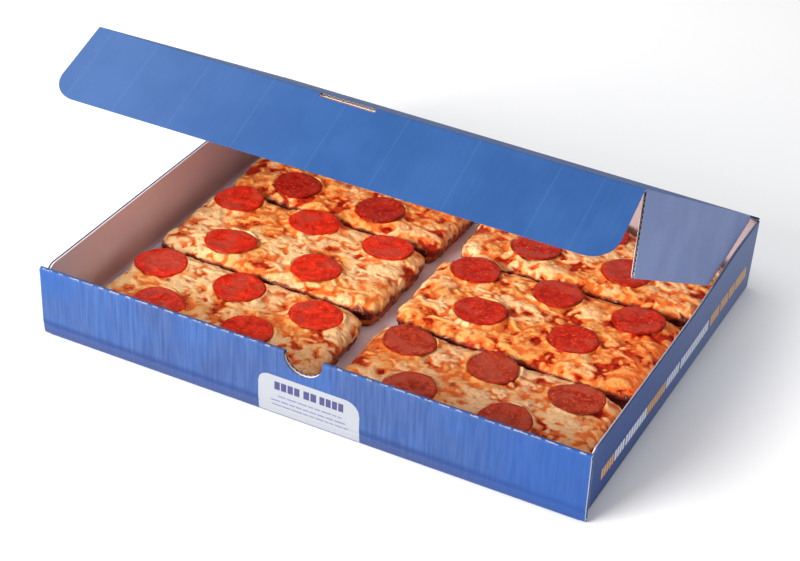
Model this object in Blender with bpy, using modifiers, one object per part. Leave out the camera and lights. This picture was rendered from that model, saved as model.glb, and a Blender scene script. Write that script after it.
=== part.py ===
"""Six thick rectangular pepperoni slices in a shallow corrugated box, its tuck-in lid half raised.

Metres. X runs along the front of the box, -Y faces the front, Z is up, and the origin is the middle of
the underside. The lid, its front flap and its two side flaps each have their origin on their own crease.
"""

import math

import bmesh
import bpy
from mathutils import Matrix, Vector

# Board and box
BOARD = 0.002  # thickness of the corrugated board
GAP = 0.0003  # air between neighbouring pieces
WIDTH = 0.380
DEPTH = 0.328
HEIGHT = 0.0545
FRONT_THICK = 0.004  # the front wall is rolled over, so it is two boards thick
FRONT_LEAN = 0.007  # how far its top leans out
FRONT_OVERHANG = 0.003  # its ends stand past the side walls
FRONT_FOOT_RADIUS = 0.0035
FOLD_RADIUS = 0.0018
WALL_CORNER_RADIUS = 0.010  # side walls are rounded down where they meet the front
NOTCH_RADIUS = 0.0135
NOTCH_DEPTH = 0.0155

# Lid and flaps, all measured from their creases
LID_OPEN_DEG = 28.3  # above level
LID_REACH = 0.3200  # hinge to front crease
LID_HALF_WIDTH = 0.1817
SHOULDER_HALF_WIDTH = 0.1893  # the lid is wider for its first few millimetres
SHOULDER_END = 0.002
SHOULDER_TAPER_END = 0.0052
CREASE_OFFSET = BOARD / 2 + GAP  # crease line to the edge of the panel beside it
CREASE_EDGE = 0.0004  # the board is crushed to this beside a side flap, so the flap can fold under
CREASE_RUN = 0.0028  # width of the slope up to that edge
SLOT_LENGTH = 0.038
SLOT_WIDTH = 0.0035
SLOT_X = -0.008
SLOT_MARGIN = 0.0012
FLAP_ROOT_HALF_WIDTH = 0.1836
FLAP_TIP_HALF_WIDTH = 0.1856
FLAP_LENGTH = 0.0575
FLAP_LEFT_EXTRA = 0.003  # its left end is cut a little longer
FLAP_CORNER_RADIUS = 0.017
FLAP_DROP_DEG = 51.0  # below the lid's own plane
SIDE_FLAP_DEPTH = 0.0515
SIDE_FLAP_FLARE_DEG = {-1: -3.0, 1: 3.9}  # outward from upright, on the left and on the right
SIDE_FLAP_REAR = (0.0065, 0.092)  # hinge to the rear corner, at the crease and at the free edge
SIDE_FLAP_REAR_DEPTH = 0.003  # below this the rear edge slopes, in line with the wall tops
SIDE_FLAP_FRONT = (0.3175, 0.3010)
SIDE_FLAP_CORNER_RADIUS = 0.004

# Pizza: heights are above the underside of the box
DOUGH_TOP = 0.0090
RIM_TOP = 0.0135  # where the melted topping starts to round over
CROWN_TOP = 0.0220
RIM_ROUND = 0.011  # width of that rounding
TOPPING_LIP = 0.0010  # the topping overhangs the dough
CORNER_POWER = 9.0  # a superellipse rounds the corners of a slice
EDGE_WOBBLE = 0.0006
CROWN_WOBBLE = 0.0005
DISC_RADIUS = 0.018
DISC_THICK = 0.0022
DISC_CUP = 0.0009
DISC_SIDES = 16
DISC_CLEARANCE = 0.0002  # keeps the flat facets of a disc clear of the curved topping
DISC_DROOP = 0.0015  # a disc near a slice's edge bends down no further than this

# name: centre x, centre y, length, depth, turn in degrees, widening towards +X
SLICES = {
    "left_front": (-0.0925, -0.0985, 0.167, 0.0945, 0.0, 0.0),
    "left_middle": (-0.0930, 0.0000, 0.168, 0.0965, 0.0, 0.01),
    "left_back": (-0.0920, 0.0995, 0.167, 0.0960, -0.3, 0.0),
    "right_front": (0.0905, -0.0978, 0.174, 0.0950, -0.5, -0.01),
    "right_middle": (0.0905, 0.0050, 0.176, 0.1040, 0.7, 0.06),
    "right_back": (0.0905, 0.1065, 0.175, 0.0920, 3.2, 0.0),
}
# Five discs on each slice: three along its back, then two along its front
DISC_PATTERN = ((-0.0625, 0.0290), (-0.0025, 0.0305), (0.0570, 0.0280), (-0.0390, -0.0215), (0.0275, -0.0200))
BACK_ROW = 3
# How far each slice's discs sit from that pattern: across, back row, front row
DISC_SHIFT = {
    "left_front": (-0.001, -0.006, 0.000),
    "left_middle": (0.001, 0.003, -0.002),
    "left_back": (0.002, 0.000, -0.004),
    "right_front": (0.001, -0.002, -0.001),
    "right_middle": (0.002, 0.005, 0.007),
    "right_back": (0.001, 0.001, 0.007),
}

BLUE = (0.062, 0.165, 0.475)
CRUST = (0.47, 0.17, 0.055)
CHEESE = (0.80, 0.47, 0.18)
PEPPERONI = (0.47, 0.035, 0.018)


def clear_scene():
    for obj in list(bpy.data.objects):
        bpy.data.objects.remove(obj, do_unlink=True)


def new_collection(name):
    collection = bpy.data.collections.new(name)
    bpy.context.scene.collection.children.link(collection)
    return collection


def material(name, colour, roughness):
    made = bpy.data.materials.new(name)
    made.use_nodes = True
    shader = made.node_tree.nodes["Principled BSDF"]
    shader.inputs["Base Color"].default_value = (*colour, 1.0)
    shader.inputs["Roughness"].default_value = roughness
    shader.inputs["Metallic"].default_value = 0.0
    return made


def mesh_object(name, bm, collection, surface=None):
    bmesh.ops.recalc_face_normals(bm, faces=bm.faces)
    mesh = bpy.data.meshes.new(name)
    bm.to_mesh(mesh)
    bm.free()
    obj = bpy.data.objects.new(name, mesh)
    collection.objects.link(obj)
    if surface:
        mesh.materials.append(surface)
    return obj


def cutter(name, bm, collection):
    obj = mesh_object(name, bm, collection)
    obj.hide_render = True
    obj.display_type = "WIRE"
    return obj


def box(size, centre):
    bm = bmesh.new()
    bmesh.ops.create_cube(bm, size=1.0)
    bmesh.ops.scale(bm, vec=size, verts=bm.verts)
    bmesh.ops.translate(bm, vec=centre, verts=bm.verts)
    return bm


def boolean(target, tool, operation):
    step = target.modifiers.new(f"{operation.lower()} {tool.name}", "BOOLEAN")
    step.operation = operation
    step.object = tool
    step.solver = "EXACT"


def edges_where(bm, test):
    return [edge for edge in bm.edges if all(test(vert.co) for vert in edge.verts)]


def round_edges(bm, edges, radius, steps):
    bmesh.ops.bevel(bm, geom=edges, offset=radius, segments=steps, affect="EDGES", profile=0.5)


# ---------------------------------------------------------------- box


def folded_shell(collection, surface):
    """Floor, back wall and side walls folded from one sheet; the front is left open."""
    bm = box((WIDTH, DEPTH, HEIGHT), (0.0, 0.0, HEIGHT / 2))
    front_y = -DEPTH / 2
    open_faces = [f for f in bm.faces if f.normal.z > 0.9 or f.normal.y < -0.9]
    bmesh.ops.delete(bm, geom=open_faces, context="FACES_ONLY")
    free_edges = [e for e in bm.edges if not e.link_faces]
    bmesh.ops.delete(bm, geom=free_edges, context="EDGES")
    for vert in bm.verts:
        if vert.co.y < front_y + 1e-6:
            vert.co.y += FRONT_THICK / 2
            if vert.co.z > HEIGHT / 2:
                vert.co.y -= FRONT_LEAN
    corners = [v for v in bm.verts if v.co.y < 0 and v.co.z > HEIGHT / 2]
    bmesh.ops.bevel(bm, geom=corners, offset=WALL_CORNER_RADIUS, segments=5, affect="VERTICES", profile=0.5)
    folds = [e for e in bm.edges if len(e.link_faces) == 2]
    round_edges(bm, folds, FOLD_RADIUS, 2)
    bmesh.ops.recalc_face_normals(bm, faces=bm.faces)
    if sum(f.normal.z * f.calc_area() for f in bm.faces) > 0:
        bmesh.ops.reverse_faces(bm, faces=bm.faces)
    mesh = bpy.data.meshes.new("tray")
    bm.to_mesh(mesh)
    bm.free()
    mesh.materials.append(surface)
    shell = bpy.data.objects.new("tray", mesh)
    collection.objects.link(shell)
    thicken = shell.modifiers.new("board", "SOLIDIFY")
    thicken.thickness = BOARD
    thicken.offset = -1.0
    thicken.use_even_offset = True
    return shell


def front_panel(cutters):
    """The rolled-over front wall: two boards thick, leaning out, rounded at its top and foot."""
    half_length = WIDTH / 2 + FRONT_OVERHANG
    bm = box((2 * half_length, FRONT_THICK, HEIGHT), (0.0, (FRONT_THICK - DEPTH) / 2, HEIGHT / 2))
    for vert in bm.verts:
        if vert.co.z > HEIGHT / 2:
            vert.co.y -= FRONT_LEAN
    inner_y = FRONT_THICK / 2 - DEPTH / 2
    top = edges_where(bm, lambda co: co.z > HEIGHT - 1e-6)
    round_edges(bm, [e for e in top if abs(e.verts[0].co.x - e.verts[1].co.x) > WIDTH], BOARD * 0.95, 3)
    foot = edges_where(bm, lambda co: co.z < 1e-6 and co.y < inner_y)
    round_edges(bm, foot, FRONT_FOOT_RADIUS, 3)
    return cutter("front_panel", bm, cutters)


def thumb_notch(cutters):
    """A round-bottomed notch in the top of the front wall."""
    reach = 4 * (FRONT_LEAN + FRONT_THICK)
    bm = bmesh.new()
    turn = Matrix.Translation((0.0, -DEPTH / 2, HEIGHT - NOTCH_DEPTH + NOTCH_RADIUS))
    turn @= Matrix.Rotation(math.radians(90.0), 4, "X")
    bmesh.ops.create_cone(
        bm, cap_ends=True, segments=32, radius1=NOTCH_RADIUS, radius2=NOTCH_RADIUS, depth=reach, matrix=turn
    )
    return cutter("notch_round", bm, cutters)


def notch_mouth(cutters):
    """The straight sides of the notch, above its round bottom."""
    low = HEIGHT - NOTCH_DEPTH + NOTCH_RADIUS
    height = 2 * (HEIGHT - low)
    reach = 4 * (FRONT_LEAN + FRONT_THICK)
    bm = box((2 * NOTCH_RADIUS, reach, height), (0.0, -DEPTH / 2, low + height / 2))
    return cutter("notch_mouth", bm, cutters)


def make_tray(parts, cutters, surface):
    tray = folded_shell(parts, surface)
    boolean(tray, front_panel(cutters), "UNION")
    boolean(tray, thumb_notch(cutters), "DIFFERENCE")
    boolean(tray, notch_mouth(cutters), "DIFFERENCE")
    return tray


# ---------------------------------------------------------------- lid and flaps


def rounded_outline(corners):
    """Corners as (x, y, radius), in order; a radius above zero becomes an arc."""
    points = []
    for index, (x, y, radius) in enumerate(corners):
        here = Vector((x, y))
        if radius == 0.0:
            points.append(here)
            continue
        before = (Vector(corners[index - 1][:2]) - here).normalized()
        after = (Vector(corners[(index + 1) % len(corners)][:2]) - here).normalized()
        half = before.angle(after) / 2
        centre = here + (before + after).normalized() * radius / math.sin(half)
        start = here + before * radius / math.tan(half) - centre
        sweep = start.angle_signed(here + after * radius / math.tan(half) - centre)
        steps = 6
        for step in range(steps + 1):
            points.append(centre + Matrix.Rotation(-sweep * step / steps, 2) @ start)
    return points


def plate(outline, thickness):
    """A flat board of the given outline, its middle on z = 0."""
    bm = bmesh.new()
    verts = [bm.verts.new((p.x, p.y, -thickness / 2)) for p in outline]
    face = bm.faces.new(verts)
    grown = bmesh.ops.extrude_face_region(bm, geom=[face])
    top = [item for item in grown["geom"] if isinstance(item, bmesh.types.BMVert)]
    bmesh.ops.translate(bm, vec=(0.0, 0.0, thickness), verts=top)
    return bm


def round_crease(bm):
    """A full round along the edges that lie on y = BOARD / 2, so the board turns about y = 0."""
    edges = edges_where(bm, lambda co: co.y > BOARD / 2 - 1e-6)
    long_edges = [e for e in edges if abs(e.verts[0].co.x - e.verts[1].co.x) > BOARD * 2]
    round_edges(bm, long_edges, BOARD * 0.495, 3)


def crush_side_creases(bm):
    """The underside slopes up to a thin edge along both sides of the lid, where the side flaps fold."""
    whole = bm.verts[:] + bm.edges[:] + bm.faces[:]
    bmesh.ops.bisect_plane(bm, geom=whole, plane_co=(0.0, 0.0, BOARD / 2 - CREASE_EDGE), plane_no=(0.0, 0.0, 1.0))
    for vert in bm.verts:
        beside_flap = abs(vert.co.x) > LID_HALF_WIDTH - 1e-6 and vert.co.y < 1e-6 - SHOULDER_TAPER_END
        if vert.co.z < 0.0 and beside_flap:
            vert.co.x -= math.copysign(CREASE_RUN, vert.co.x)


def lid_frame():
    """Lid space to world space: the hinge crease is the origin, and the lid runs along -Y from it."""
    hinge = Matrix.Translation((0.0, DEPTH / 2 - BOARD / 2, HEIGHT + CREASE_OFFSET))
    return hinge @ Matrix.Rotation(math.radians(-LID_OPEN_DEG), 4, "X")


def make_lid(parts, cutters, surface):
    front = CREASE_OFFSET - LID_REACH
    right = (
        (SHOULDER_HALF_WIDTH, BOARD / 2, 0.0),
        (SHOULDER_HALF_WIDTH, -SHOULDER_END, 0.0),
        (LID_HALF_WIDTH, -SHOULDER_TAPER_END, 0.0),
        (LID_HALF_WIDTH, front, 0.0),
    )
    left = tuple((-x, y, radius) for x, y, radius in reversed(right))
    bm = plate(rounded_outline(left + right), BOARD)
    round_crease(bm)
    crush_side_creases(bm)
    lid = mesh_object("lid", bm, parts, surface)
    lid.matrix_world = lid_frame()
    slot = box((SLOT_LENGTH, SLOT_WIDTH, 4 * BOARD), (SLOT_X, front + SLOT_MARGIN + SLOT_WIDTH / 2, 0.0))
    slot_cutter = cutter("lid_slot", slot, cutters)
    slot_cutter.matrix_world = lid.matrix_world
    boolean(lid, slot_cutter, "DIFFERENCE")
    return lid


def make_front_flap(parts, surface):
    outline = rounded_outline(
        (
            (FLAP_ROOT_HALF_WIDTH, BOARD / 2, 0.0),
            (-FLAP_ROOT_HALF_WIDTH, BOARD / 2, 0.0),
            (-FLAP_TIP_HALF_WIDTH, -FLAP_LENGTH - FLAP_LEFT_EXTRA, FLAP_CORNER_RADIUS),
            (FLAP_TIP_HALF_WIDTH, -FLAP_LENGTH, FLAP_CORNER_RADIUS),
        )
    )
    bm = plate(outline, BOARD)
    round_crease(bm)
    flap = mesh_object("front_flap", bm, parts, surface)
    crease = Matrix.Translation((0.0, -LID_REACH, 0.0)) @ Matrix.Rotation(math.radians(FLAP_DROP_DEG), 4, "X")
    flap.matrix_world = lid_frame() @ crease
    return flap


def make_side_flap(name, side, parts, surface):
    """side is 1 on the right and -1 on the left. The flap's own -Y is its depth, its X runs along the lid."""
    rear_root, rear_tip = SIDE_FLAP_REAR
    front_root, front_tip = SIDE_FLAP_FRONT
    outline = rounded_outline(
        (
            (rear_root, BOARD / 2, 0.0),
            (front_root, BOARD / 2, 0.0),
            (front_tip, -SIDE_FLAP_DEPTH, SIDE_FLAP_CORNER_RADIUS),
            (rear_tip, -SIDE_FLAP_DEPTH, SIDE_FLAP_CORNER_RADIUS),
            (rear_root, -SIDE_FLAP_REAR_DEPTH, 0.0),
        )
    )
    bm = plate(outline, BOARD)
    round_crease(bm)
    flap = mesh_object(name, bm, parts, surface)
    along = Vector((0.0, -1.0, 0.0))
    flare = math.radians(SIDE_FLAP_FLARE_DEG[side])
    down = Vector((side * math.sin(flare), 0.0, -math.cos(flare)))
    axes = Matrix((along, -down, along.cross(-down))).transposed().to_4x4()
    crease_x = side * (LID_HALF_WIDTH + CREASE_OFFSET)
    flap.matrix_world = lid_frame() @ Matrix.Translation((crease_x, 0.0, 0.0)) @ axes
    return flap


# ---------------------------------------------------------------- pizza


def wobble(x, y, phase):
    """A smooth unevenness between about -1 and 1, a few centimetres from swell to swell."""
    return 0.5 * (math.sin(137.0 * x + 61.0 * y + phase) + math.sin(89.0 * y - 103.0 * x + 2.3 * phase))


def lattice_block(across, deep, layers):
    """A cube from -1 to 1 cut into a lattice, its lines closer together near the edges in X and Y."""
    bm = bmesh.new()
    bmesh.ops.create_cube(bm, size=2.0)
    for axis, cuts in enumerate((across, deep, layers)):
        lines = [e for e in bm.edges if abs(e.verts[0].co[axis] - e.verts[1].co[axis]) > 1.9]
        bmesh.ops.subdivide_edges(bm, edges=lines, cuts=cuts, use_grid_fill=True)
    for vert in bm.verts:
        for axis in (0, 1):
            place = vert.co[axis]
            vert.co[axis] = place * (1.5 - 0.5 * place * place)
    return bm


def in_slice(piece, u, v, inset):
    """World X and Y of lattice place u, v, on a slice drawn in by inset."""
    x, y, length, depth, turn, widening = SLICES[piece]
    ring = max(abs(u), abs(v))
    pull = ring / max((abs(u) ** CORNER_POWER + abs(v) ** CORNER_POWER) ** (1 / CORNER_POWER), 1e-9)
    across = (length / 2 - inset) * u * pull
    deep = (depth / 2 * (1 + widening * u) - inset) * v * pull
    turned = Matrix.Rotation(math.radians(turn), 2) @ Vector((across, deep))
    return x + turned.x, y + turned.y


def edge_distance(piece, x, y):
    """How far a world point lies inside the edge of a slice."""
    centre_x, centre_y, length, depth, turn, widening = SLICES[piece]
    place = Matrix.Rotation(math.radians(-turn), 2) @ Vector((x - centre_x, y - centre_y))
    half_depth = depth / 2 * (1 + widening * place.x * 2 / length)
    return min(length / 2 - abs(place.x), half_depth - abs(place.y))


def topping_height(piece, x, y):
    """The topping is level in the middle of a slice and rounds over near its edge."""
    inward = min(max(edge_distance(piece, x, y), 0.0) / RIM_ROUND, 1.0)
    rise = math.sqrt(1 - (1 - inward) ** 2)
    phase = len(piece) + 10 * SLICES[piece][0]
    return RIM_TOP + (CROWN_TOP - RIM_TOP + CROWN_WOBBLE * wobble(x, y, phase)) * rise


def make_dough(piece, parts, surface):
    """The baked base, straight-sided, with a rounded foot."""
    bm = lattice_block(9, 5, 1)
    foot = BOARD + GAP
    for vert in bm.verts:
        u, v, level = vert.co
        inset = TOPPING_LIP + (0.0015 if level < -0.5 else 0.0)
        x, y = in_slice(piece, u, v, inset)
        shift = EDGE_WOBBLE * wobble(x, y, 1.0)
        place = Vector((x, y)) + Vector((u, v)) * shift
        height = {-1: foot, 0: foot + 0.0015, 1: DOUGH_TOP}[round(level)]
        vert.co = (place.x, place.y, height)
    flat = [f for f in bm.faces if abs(f.normal.z) > 0.99]
    bmesh.ops.dissolve_limit(
        bm, angle_limit=math.radians(0.5), verts=list({v for f in flat for v in f.verts}),
        edges=list({e for f in flat for e in f.edges}),
    )
    return mesh_object(f"dough_{piece}", bm, parts, surface)


def make_topping(piece, parts, surface):
    """Melted cheese over sauce, thicker in the middle, with a lip that overhangs the dough."""
    bm = lattice_block(11, 7, 1)
    foot = DOUGH_TOP + GAP
    for vert in bm.verts:
        u, v, level = vert.co
        inset = 0.0008 if level < -0.5 else 0.0
        x, y = in_slice(piece, u, v, inset)
        shift = EDGE_WOBBLE * wobble(x, y, 4.0)
        place = Vector((x, y)) + Vector((u, v)) * shift
        height = foot if level < -0.5 else (foot + RIM_TOP) / 2
        if level > 0.5:
            height = topping_height(piece, x, y)
        vert.co = (place.x, place.y, height)
    return mesh_object(f"topping_{piece}", bm, parts, surface)


def disc_height(piece, x, y):
    """Underside of a disc: it lies on the topping, but is too stiff to follow the rounded edge down."""
    return max(topping_height(piece, x, y), CROWN_TOP - DISC_DROOP) + GAP


def make_pepperoni(piece, number, parts, surface):
    """A thin round slice, its rim cupped up a little."""
    x, y, _, _, turn, _ = SLICES[piece]
    across, back_row, front_row = DISC_SHIFT[piece]
    shift = Vector((across, back_row if number < BACK_ROW else front_row))
    offset = Matrix.Rotation(math.radians(turn), 2) @ (Vector(DISC_PATTERN[number]) + shift)
    centre = Vector((x + offset.x, y + offset.y))
    radius = DISC_RADIUS * (1 + 0.03 * math.sin(5.0 * number + 40.0 * x + 70.0 * y))
    bm = bmesh.new()
    bmesh.ops.create_cone(
        bm, cap_ends=True, segments=DISC_SIDES, radius1=radius, radius2=radius, depth=DISC_THICK
    )
    caps = [f for f in bm.faces if abs(f.normal.z) > 0.9]
    bmesh.ops.inset_individual(bm, faces=caps, thickness=0.4 * radius)
    bmesh.ops.poke(bm, faces=[f for f in bm.faces if len(f.verts) == DISC_SIDES])
    for vert in bm.verts:
        cup = DISC_CUP * (vert.co.xy.length / radius) ** 3
        above = DISC_THICK if vert.co.z > 0 else 0.0
        place = centre + vert.co.xy
        vert.co = (place.x, place.y, disc_height(piece, place.x, place.y) + DISC_CLEARANCE + above + cup)
    return mesh_object(f"pepperoni_{piece}_{number + 1}", bm, parts, surface)


def main():
    clear_scene()
    parts = new_collection("pizza_in_box")
    cutters = new_collection("cutters")
    printed = material("printed_board", BLUE, 0.45)
    crust = material("baked_crust", CRUST, 0.7)
    cheese = material("melted_cheese", CHEESE, 0.4)
    meat = material("pepperoni", PEPPERONI, 0.35)
    make_tray(parts, cutters, printed)
    make_lid(parts, cutters, printed)
    make_front_flap(parts, printed)
    make_side_flap("side_flap_left", -1, parts, printed)
    make_side_flap("side_flap_right", 1, parts, printed)
    for piece in SLICES:
        make_dough(piece, parts, crust)
        make_topping(piece, parts, cheese)
        for number in range(len(DISC_PATTERN)):
            make_pepperoni(piece, number, parts, meat)


main()
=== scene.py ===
import math

import bmesh
import bpy
import numpy as np
from mathutils import Matrix, Vector


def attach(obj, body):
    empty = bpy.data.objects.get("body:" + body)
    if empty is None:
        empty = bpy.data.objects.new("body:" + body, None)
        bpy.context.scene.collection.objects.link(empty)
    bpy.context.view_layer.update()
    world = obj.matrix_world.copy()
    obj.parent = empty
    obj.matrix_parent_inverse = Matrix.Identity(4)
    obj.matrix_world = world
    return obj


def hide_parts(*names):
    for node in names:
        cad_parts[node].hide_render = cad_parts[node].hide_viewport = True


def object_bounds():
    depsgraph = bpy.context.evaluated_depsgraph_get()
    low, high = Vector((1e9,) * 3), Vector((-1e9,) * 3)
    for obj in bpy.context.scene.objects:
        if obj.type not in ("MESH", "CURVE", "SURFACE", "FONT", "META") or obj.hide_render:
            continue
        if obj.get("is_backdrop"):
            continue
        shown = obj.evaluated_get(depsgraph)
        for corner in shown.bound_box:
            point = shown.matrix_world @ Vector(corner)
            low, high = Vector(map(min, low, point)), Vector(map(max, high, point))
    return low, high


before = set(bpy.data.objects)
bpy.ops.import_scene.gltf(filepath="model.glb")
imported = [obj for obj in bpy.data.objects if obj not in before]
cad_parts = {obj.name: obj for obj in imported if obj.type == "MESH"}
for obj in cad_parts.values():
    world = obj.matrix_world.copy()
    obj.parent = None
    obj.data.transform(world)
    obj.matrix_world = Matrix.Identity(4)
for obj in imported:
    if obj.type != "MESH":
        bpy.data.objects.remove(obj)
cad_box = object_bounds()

# ---------------------------------------------------------------- camera and studio
# A plain pale table under a big soft light from the front left, a weaker one from above,
# and a pale surround that fills the shadows.
CAMERA_PLACE = (0.50455, -1.25973, 0.83789)
CAMERA_TURN = (-23.477, -31.082, 5.437)  # degrees round, down and rolled


def aim(place, turn):
    yaw, pitch, roll = (math.radians(angle) for angle in turn)
    ahead = Vector((math.sin(yaw) * math.cos(pitch), math.cos(yaw) * math.cos(pitch), math.sin(pitch)))
    level = Vector((math.cos(yaw), -math.sin(yaw), 0.0))
    above = level.cross(ahead)
    right = level * math.cos(roll) + above * math.sin(roll)
    up = above * math.cos(roll) - level * math.sin(roll)
    axes = Matrix((right, up, -ahead)).transposed().to_4x4()
    return Matrix.Translation(place) @ axes


scene = bpy.context.scene
scene.view_settings.view_transform = "Standard"
camera_data = bpy.data.cameras.new("camera")
camera_data.lens = 104.09
camera_data.sensor_width = 36.0
camera_data.shift_x = 0.0530
camera_data.shift_y = -0.0016
camera_data.clip_end = 20.0
camera = bpy.data.objects.new("camera", camera_data)
camera.matrix_world = aim(CAMERA_PLACE, CAMERA_TURN)
scene.collection.objects.link(camera)
scene.camera = camera


def add(tree, kind, sockets=None, **settings):
    """One node in a tree: its settings, then its inputs, each a value or another node's output."""
    made = tree.nodes.new(kind)
    for name, value in settings.items():
        setattr(made, name, value)
    for name, value in (sockets or {}).items():
        if isinstance(value, bpy.types.NodeSocket):
            tree.links.new(value, made.inputs[name])
        else:
            made.inputs[name].default_value = value
    return made


def home(*values):
    """The tree of the first node output among some values."""
    return next(value.id_data for value in values if isinstance(value, bpy.types.NodeSocket))


def feed(inputs, **values):
    """Joins node outputs to the inputs of those names, on a shader or at the end of a group."""
    for label, value in values.items():
        value.id_data.links.new(value, inputs[label.replace("_", " ")])


def mixed(share, first, second, blend="MIX"):
    """One colour mixed into another; a plain colour is given as red, green and blue."""
    first, second = ((*colour, 1.0) if isinstance(colour, tuple) else colour for colour in (first, second))
    tree, inputs = home(share, first, second), {0: share, 6: first, 7: second}
    return add(tree, "ShaderNodeMix", inputs, data_type="RGBA", blend_type=blend).outputs[2]


def noise(place, scale, detail, **more):
    inputs = {"Vector": place, "Scale": scale, "Detail": detail, **more}
    return add(home(place), "ShaderNodeTexNoise", inputs).outputs[0]


def surface(name, roughness, **constants):
    """A new material, with its shader and the place that its patterns read."""
    made = bpy.data.materials.new(name)
    made.use_nodes = True
    shader = made.node_tree.nodes["Principled BSDF"]
    shader.inputs["Roughness"].default_value = roughness
    for socket, value in constants.items():
        shader.inputs[socket.replace("_", " ")].default_value = value
    return made, shader, add(made.node_tree, "ShaderNodeTexCoord").outputs["Object"]


TABLE_HALF, TABLE_DROP = 6.0, 0.0003
table_top, shader, place = surface("pale_table", 0.7)
feed(shader.inputs, Base_Color=mixed(noise(place, 3.0, 2.0), (0.86, 0.86, 0.87), (0.90, 0.90, 0.90)))
bm = bmesh.new()
bmesh.ops.create_grid(bm, x_segments=1, y_segments=1, size=TABLE_HALF)
table_mesh = bpy.data.meshes.new("table")
bm.to_mesh(table_mesh)
bm.free()
table_mesh.materials.append(table_top)
table = bpy.data.objects.new("table", table_mesh)
scene.collection.objects.link(table)
table.location.z = -TABLE_DROP
table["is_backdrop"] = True

surround = bpy.data.worlds.new("surround")
surround.use_nodes = True
surround.node_tree.nodes["Background"].inputs["Color"].default_value = (0.97, 0.98, 1.0, 1.0)
surround.node_tree.nodes["Background"].inputs["Strength"].default_value = 0.58
scene.world = surround


def softbox(name, place, target, width, height, power, colour=(1.0, 1.0, 1.0)):
    light = bpy.data.lights.new(name, "AREA")
    light.shape = "RECTANGLE"
    light.size, light.size_y = width, height
    light.energy = power
    light.color = colour
    lamp = bpy.data.objects.new(name, light)
    lamp.location = place
    lamp.rotation_euler = (Vector(target) - Vector(place)).to_track_quat("-Z", "Y").to_euler()
    scene.collection.objects.link(lamp)


softbox("front_light", (-0.75, -1.75, 0.75), (0.0, 0.0, 0.05), 1.1, 0.7, 74.0, (1.0, 0.98, 0.95))
softbox("top_light", (-0.4, -0.2, 1.6), (0.0, 0.0, 0.1), 1.4, 1.4, 14.0)

# ---------------------------------------------------------------- corrugated board
# The whole box is cut from one sheet of single-wall corrugated board, 2 mm thick: a printed outer
# paper, a plain white inner paper and a brown fluted paper glued between them.
BOARD = 0.002
LINER = 0.00028  # the outer paper, and the inner one
FLUTE_PITCH = 0.0032
FLUTE_PAPER = 0.0002


def maths(operation, first, second=0.0, third=0.0):
    tree = home(first, second, third)
    return add(tree, "ShaderNodeMath", {0: first, 1: second, 2: third}, operation=operation).outputs[0]


def times(first, second):
    return maths("MULTIPLY", first, second)


def scaled(value, factor, base):
    return maths("MULTIPLY_ADD", value, factor, base)


def less(first, second):
    return maths("SUBTRACT", first, second)


def stepped(value, low, high):
    """0 below low, 1 above high, and smooth between."""
    step = {0: value, 1: low, 2: high}
    return add(home(value), "ShaderNodeMapRange", step, interpolation_type="SMOOTHSTEP").outputs[0]


def washed(colour, *coats):
    """A colour under further coats, each given as its share and its own colour."""
    for share, coat in coats:
        colour = mixed(share, colour, coat)
    return colour


def new_group(name, inputs, outputs, kind="ShaderNodeTree"):
    """A node group with its sockets. An input is given as its usual value, or as its kind of socket."""
    tree = bpy.data.node_groups.new(name, kind)
    for label, value in inputs.items():
        word = value if isinstance(value, str) else {float: "Float", int: "Int"}[type(value)]
        socket = tree.interface.new_socket(name=label, in_out="INPUT", socket_type=f"NodeSocket{word}")
        if word != value:
            socket.default_value = value
    for label, word in outputs.items():
        tree.interface.new_socket(name=label, in_out="OUTPUT", socket_type=f"NodeSocket{word}")
    return tree, tree.nodes.new("NodeGroupInput").outputs, tree.nodes.new("NodeGroupOutput").inputs


def placed(group, **sockets):
    """A node group set into a material."""
    return add(home(*sockets.values()), "ShaderNodeGroup", sockets, node_tree=group).outputs


def split(vector):
    return add(home(vector), "ShaderNodeSeparateXYZ", {0: vector}).outputs


# Paper grain: fine fibres, and a faint cloudiness a few centimetres across.
paper_grain, given, put = new_group("paper_grain", {"Place": "Vector"}, {"Cloud": "Float", "Fibre": "Float"})
feed(put, Cloud=noise(given["Place"], 28.0, 3.0), Fibre=noise(given["Place"], 1400.0, 3.0, Roughness=0.7))


def bumped(shader, height, depth, strength=1.0):
    bump = add(shader.id_data, "ShaderNodeBump", {"Height": height, "Distance": depth, "Strength": strength})
    feed(shader.inputs, Normal=bump.outputs[0])


def plain_paper(name, roughness, dark, light, share="Fibre", bump=0.0):
    """A paper or an ink of one colour, which varies with the paper's grain."""
    made, shader, place = surface(name, roughness)
    grain = placed(paper_grain, Place=place)
    feed(shader.inputs, Base_Color=mixed(grain[share], dark, light))
    if bump:
        bumped(shader, grain["Fibre"], bump)
    return made


def finished(name, mesh, material, body, smooth=False, stands_for=()):
    """A finished piece of the object, riding on its body."""
    if material:
        mesh.materials.clear()
        mesh.materials.append(material)
    mesh.polygons.foreach_set("use_smooth", [smooth] * len(mesh.polygons))
    mesh.update()
    piece = bpy.data.objects.new(name, mesh)
    scene.collection.objects.link(piece)
    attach(piece, body)
    if stands_for:
        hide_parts(*stands_for)


def baked(obj):
    """The evaluated shape of an object with modifiers, as a plain mesh; the object is dropped."""
    bpy.context.view_layer.update()
    graph = bpy.context.evaluated_depsgraph_get()
    mesh = bpy.data.meshes.new_from_object(obj.evaluated_get(graph), depsgraph=graph)
    old = obj.data
    bpy.data.objects.remove(obj, do_unlink=True)
    if old.users == 0:
        bpy.data.meshes.remove(old)
    return mesh


def loose(name, bm):
    """A working object from a bmesh."""
    mesh = bpy.data.meshes.new(name)
    bm.to_mesh(mesh)
    bm.free()
    obj = bpy.data.objects.new(name, mesh)
    scene.collection.objects.link(obj)
    return obj


OUTER_LAYER, INNER_LAYER = (BOARD / 2 - LINER, BOARD / 2), (-BOARD / 2, LINER - BOARD / 2)


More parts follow.
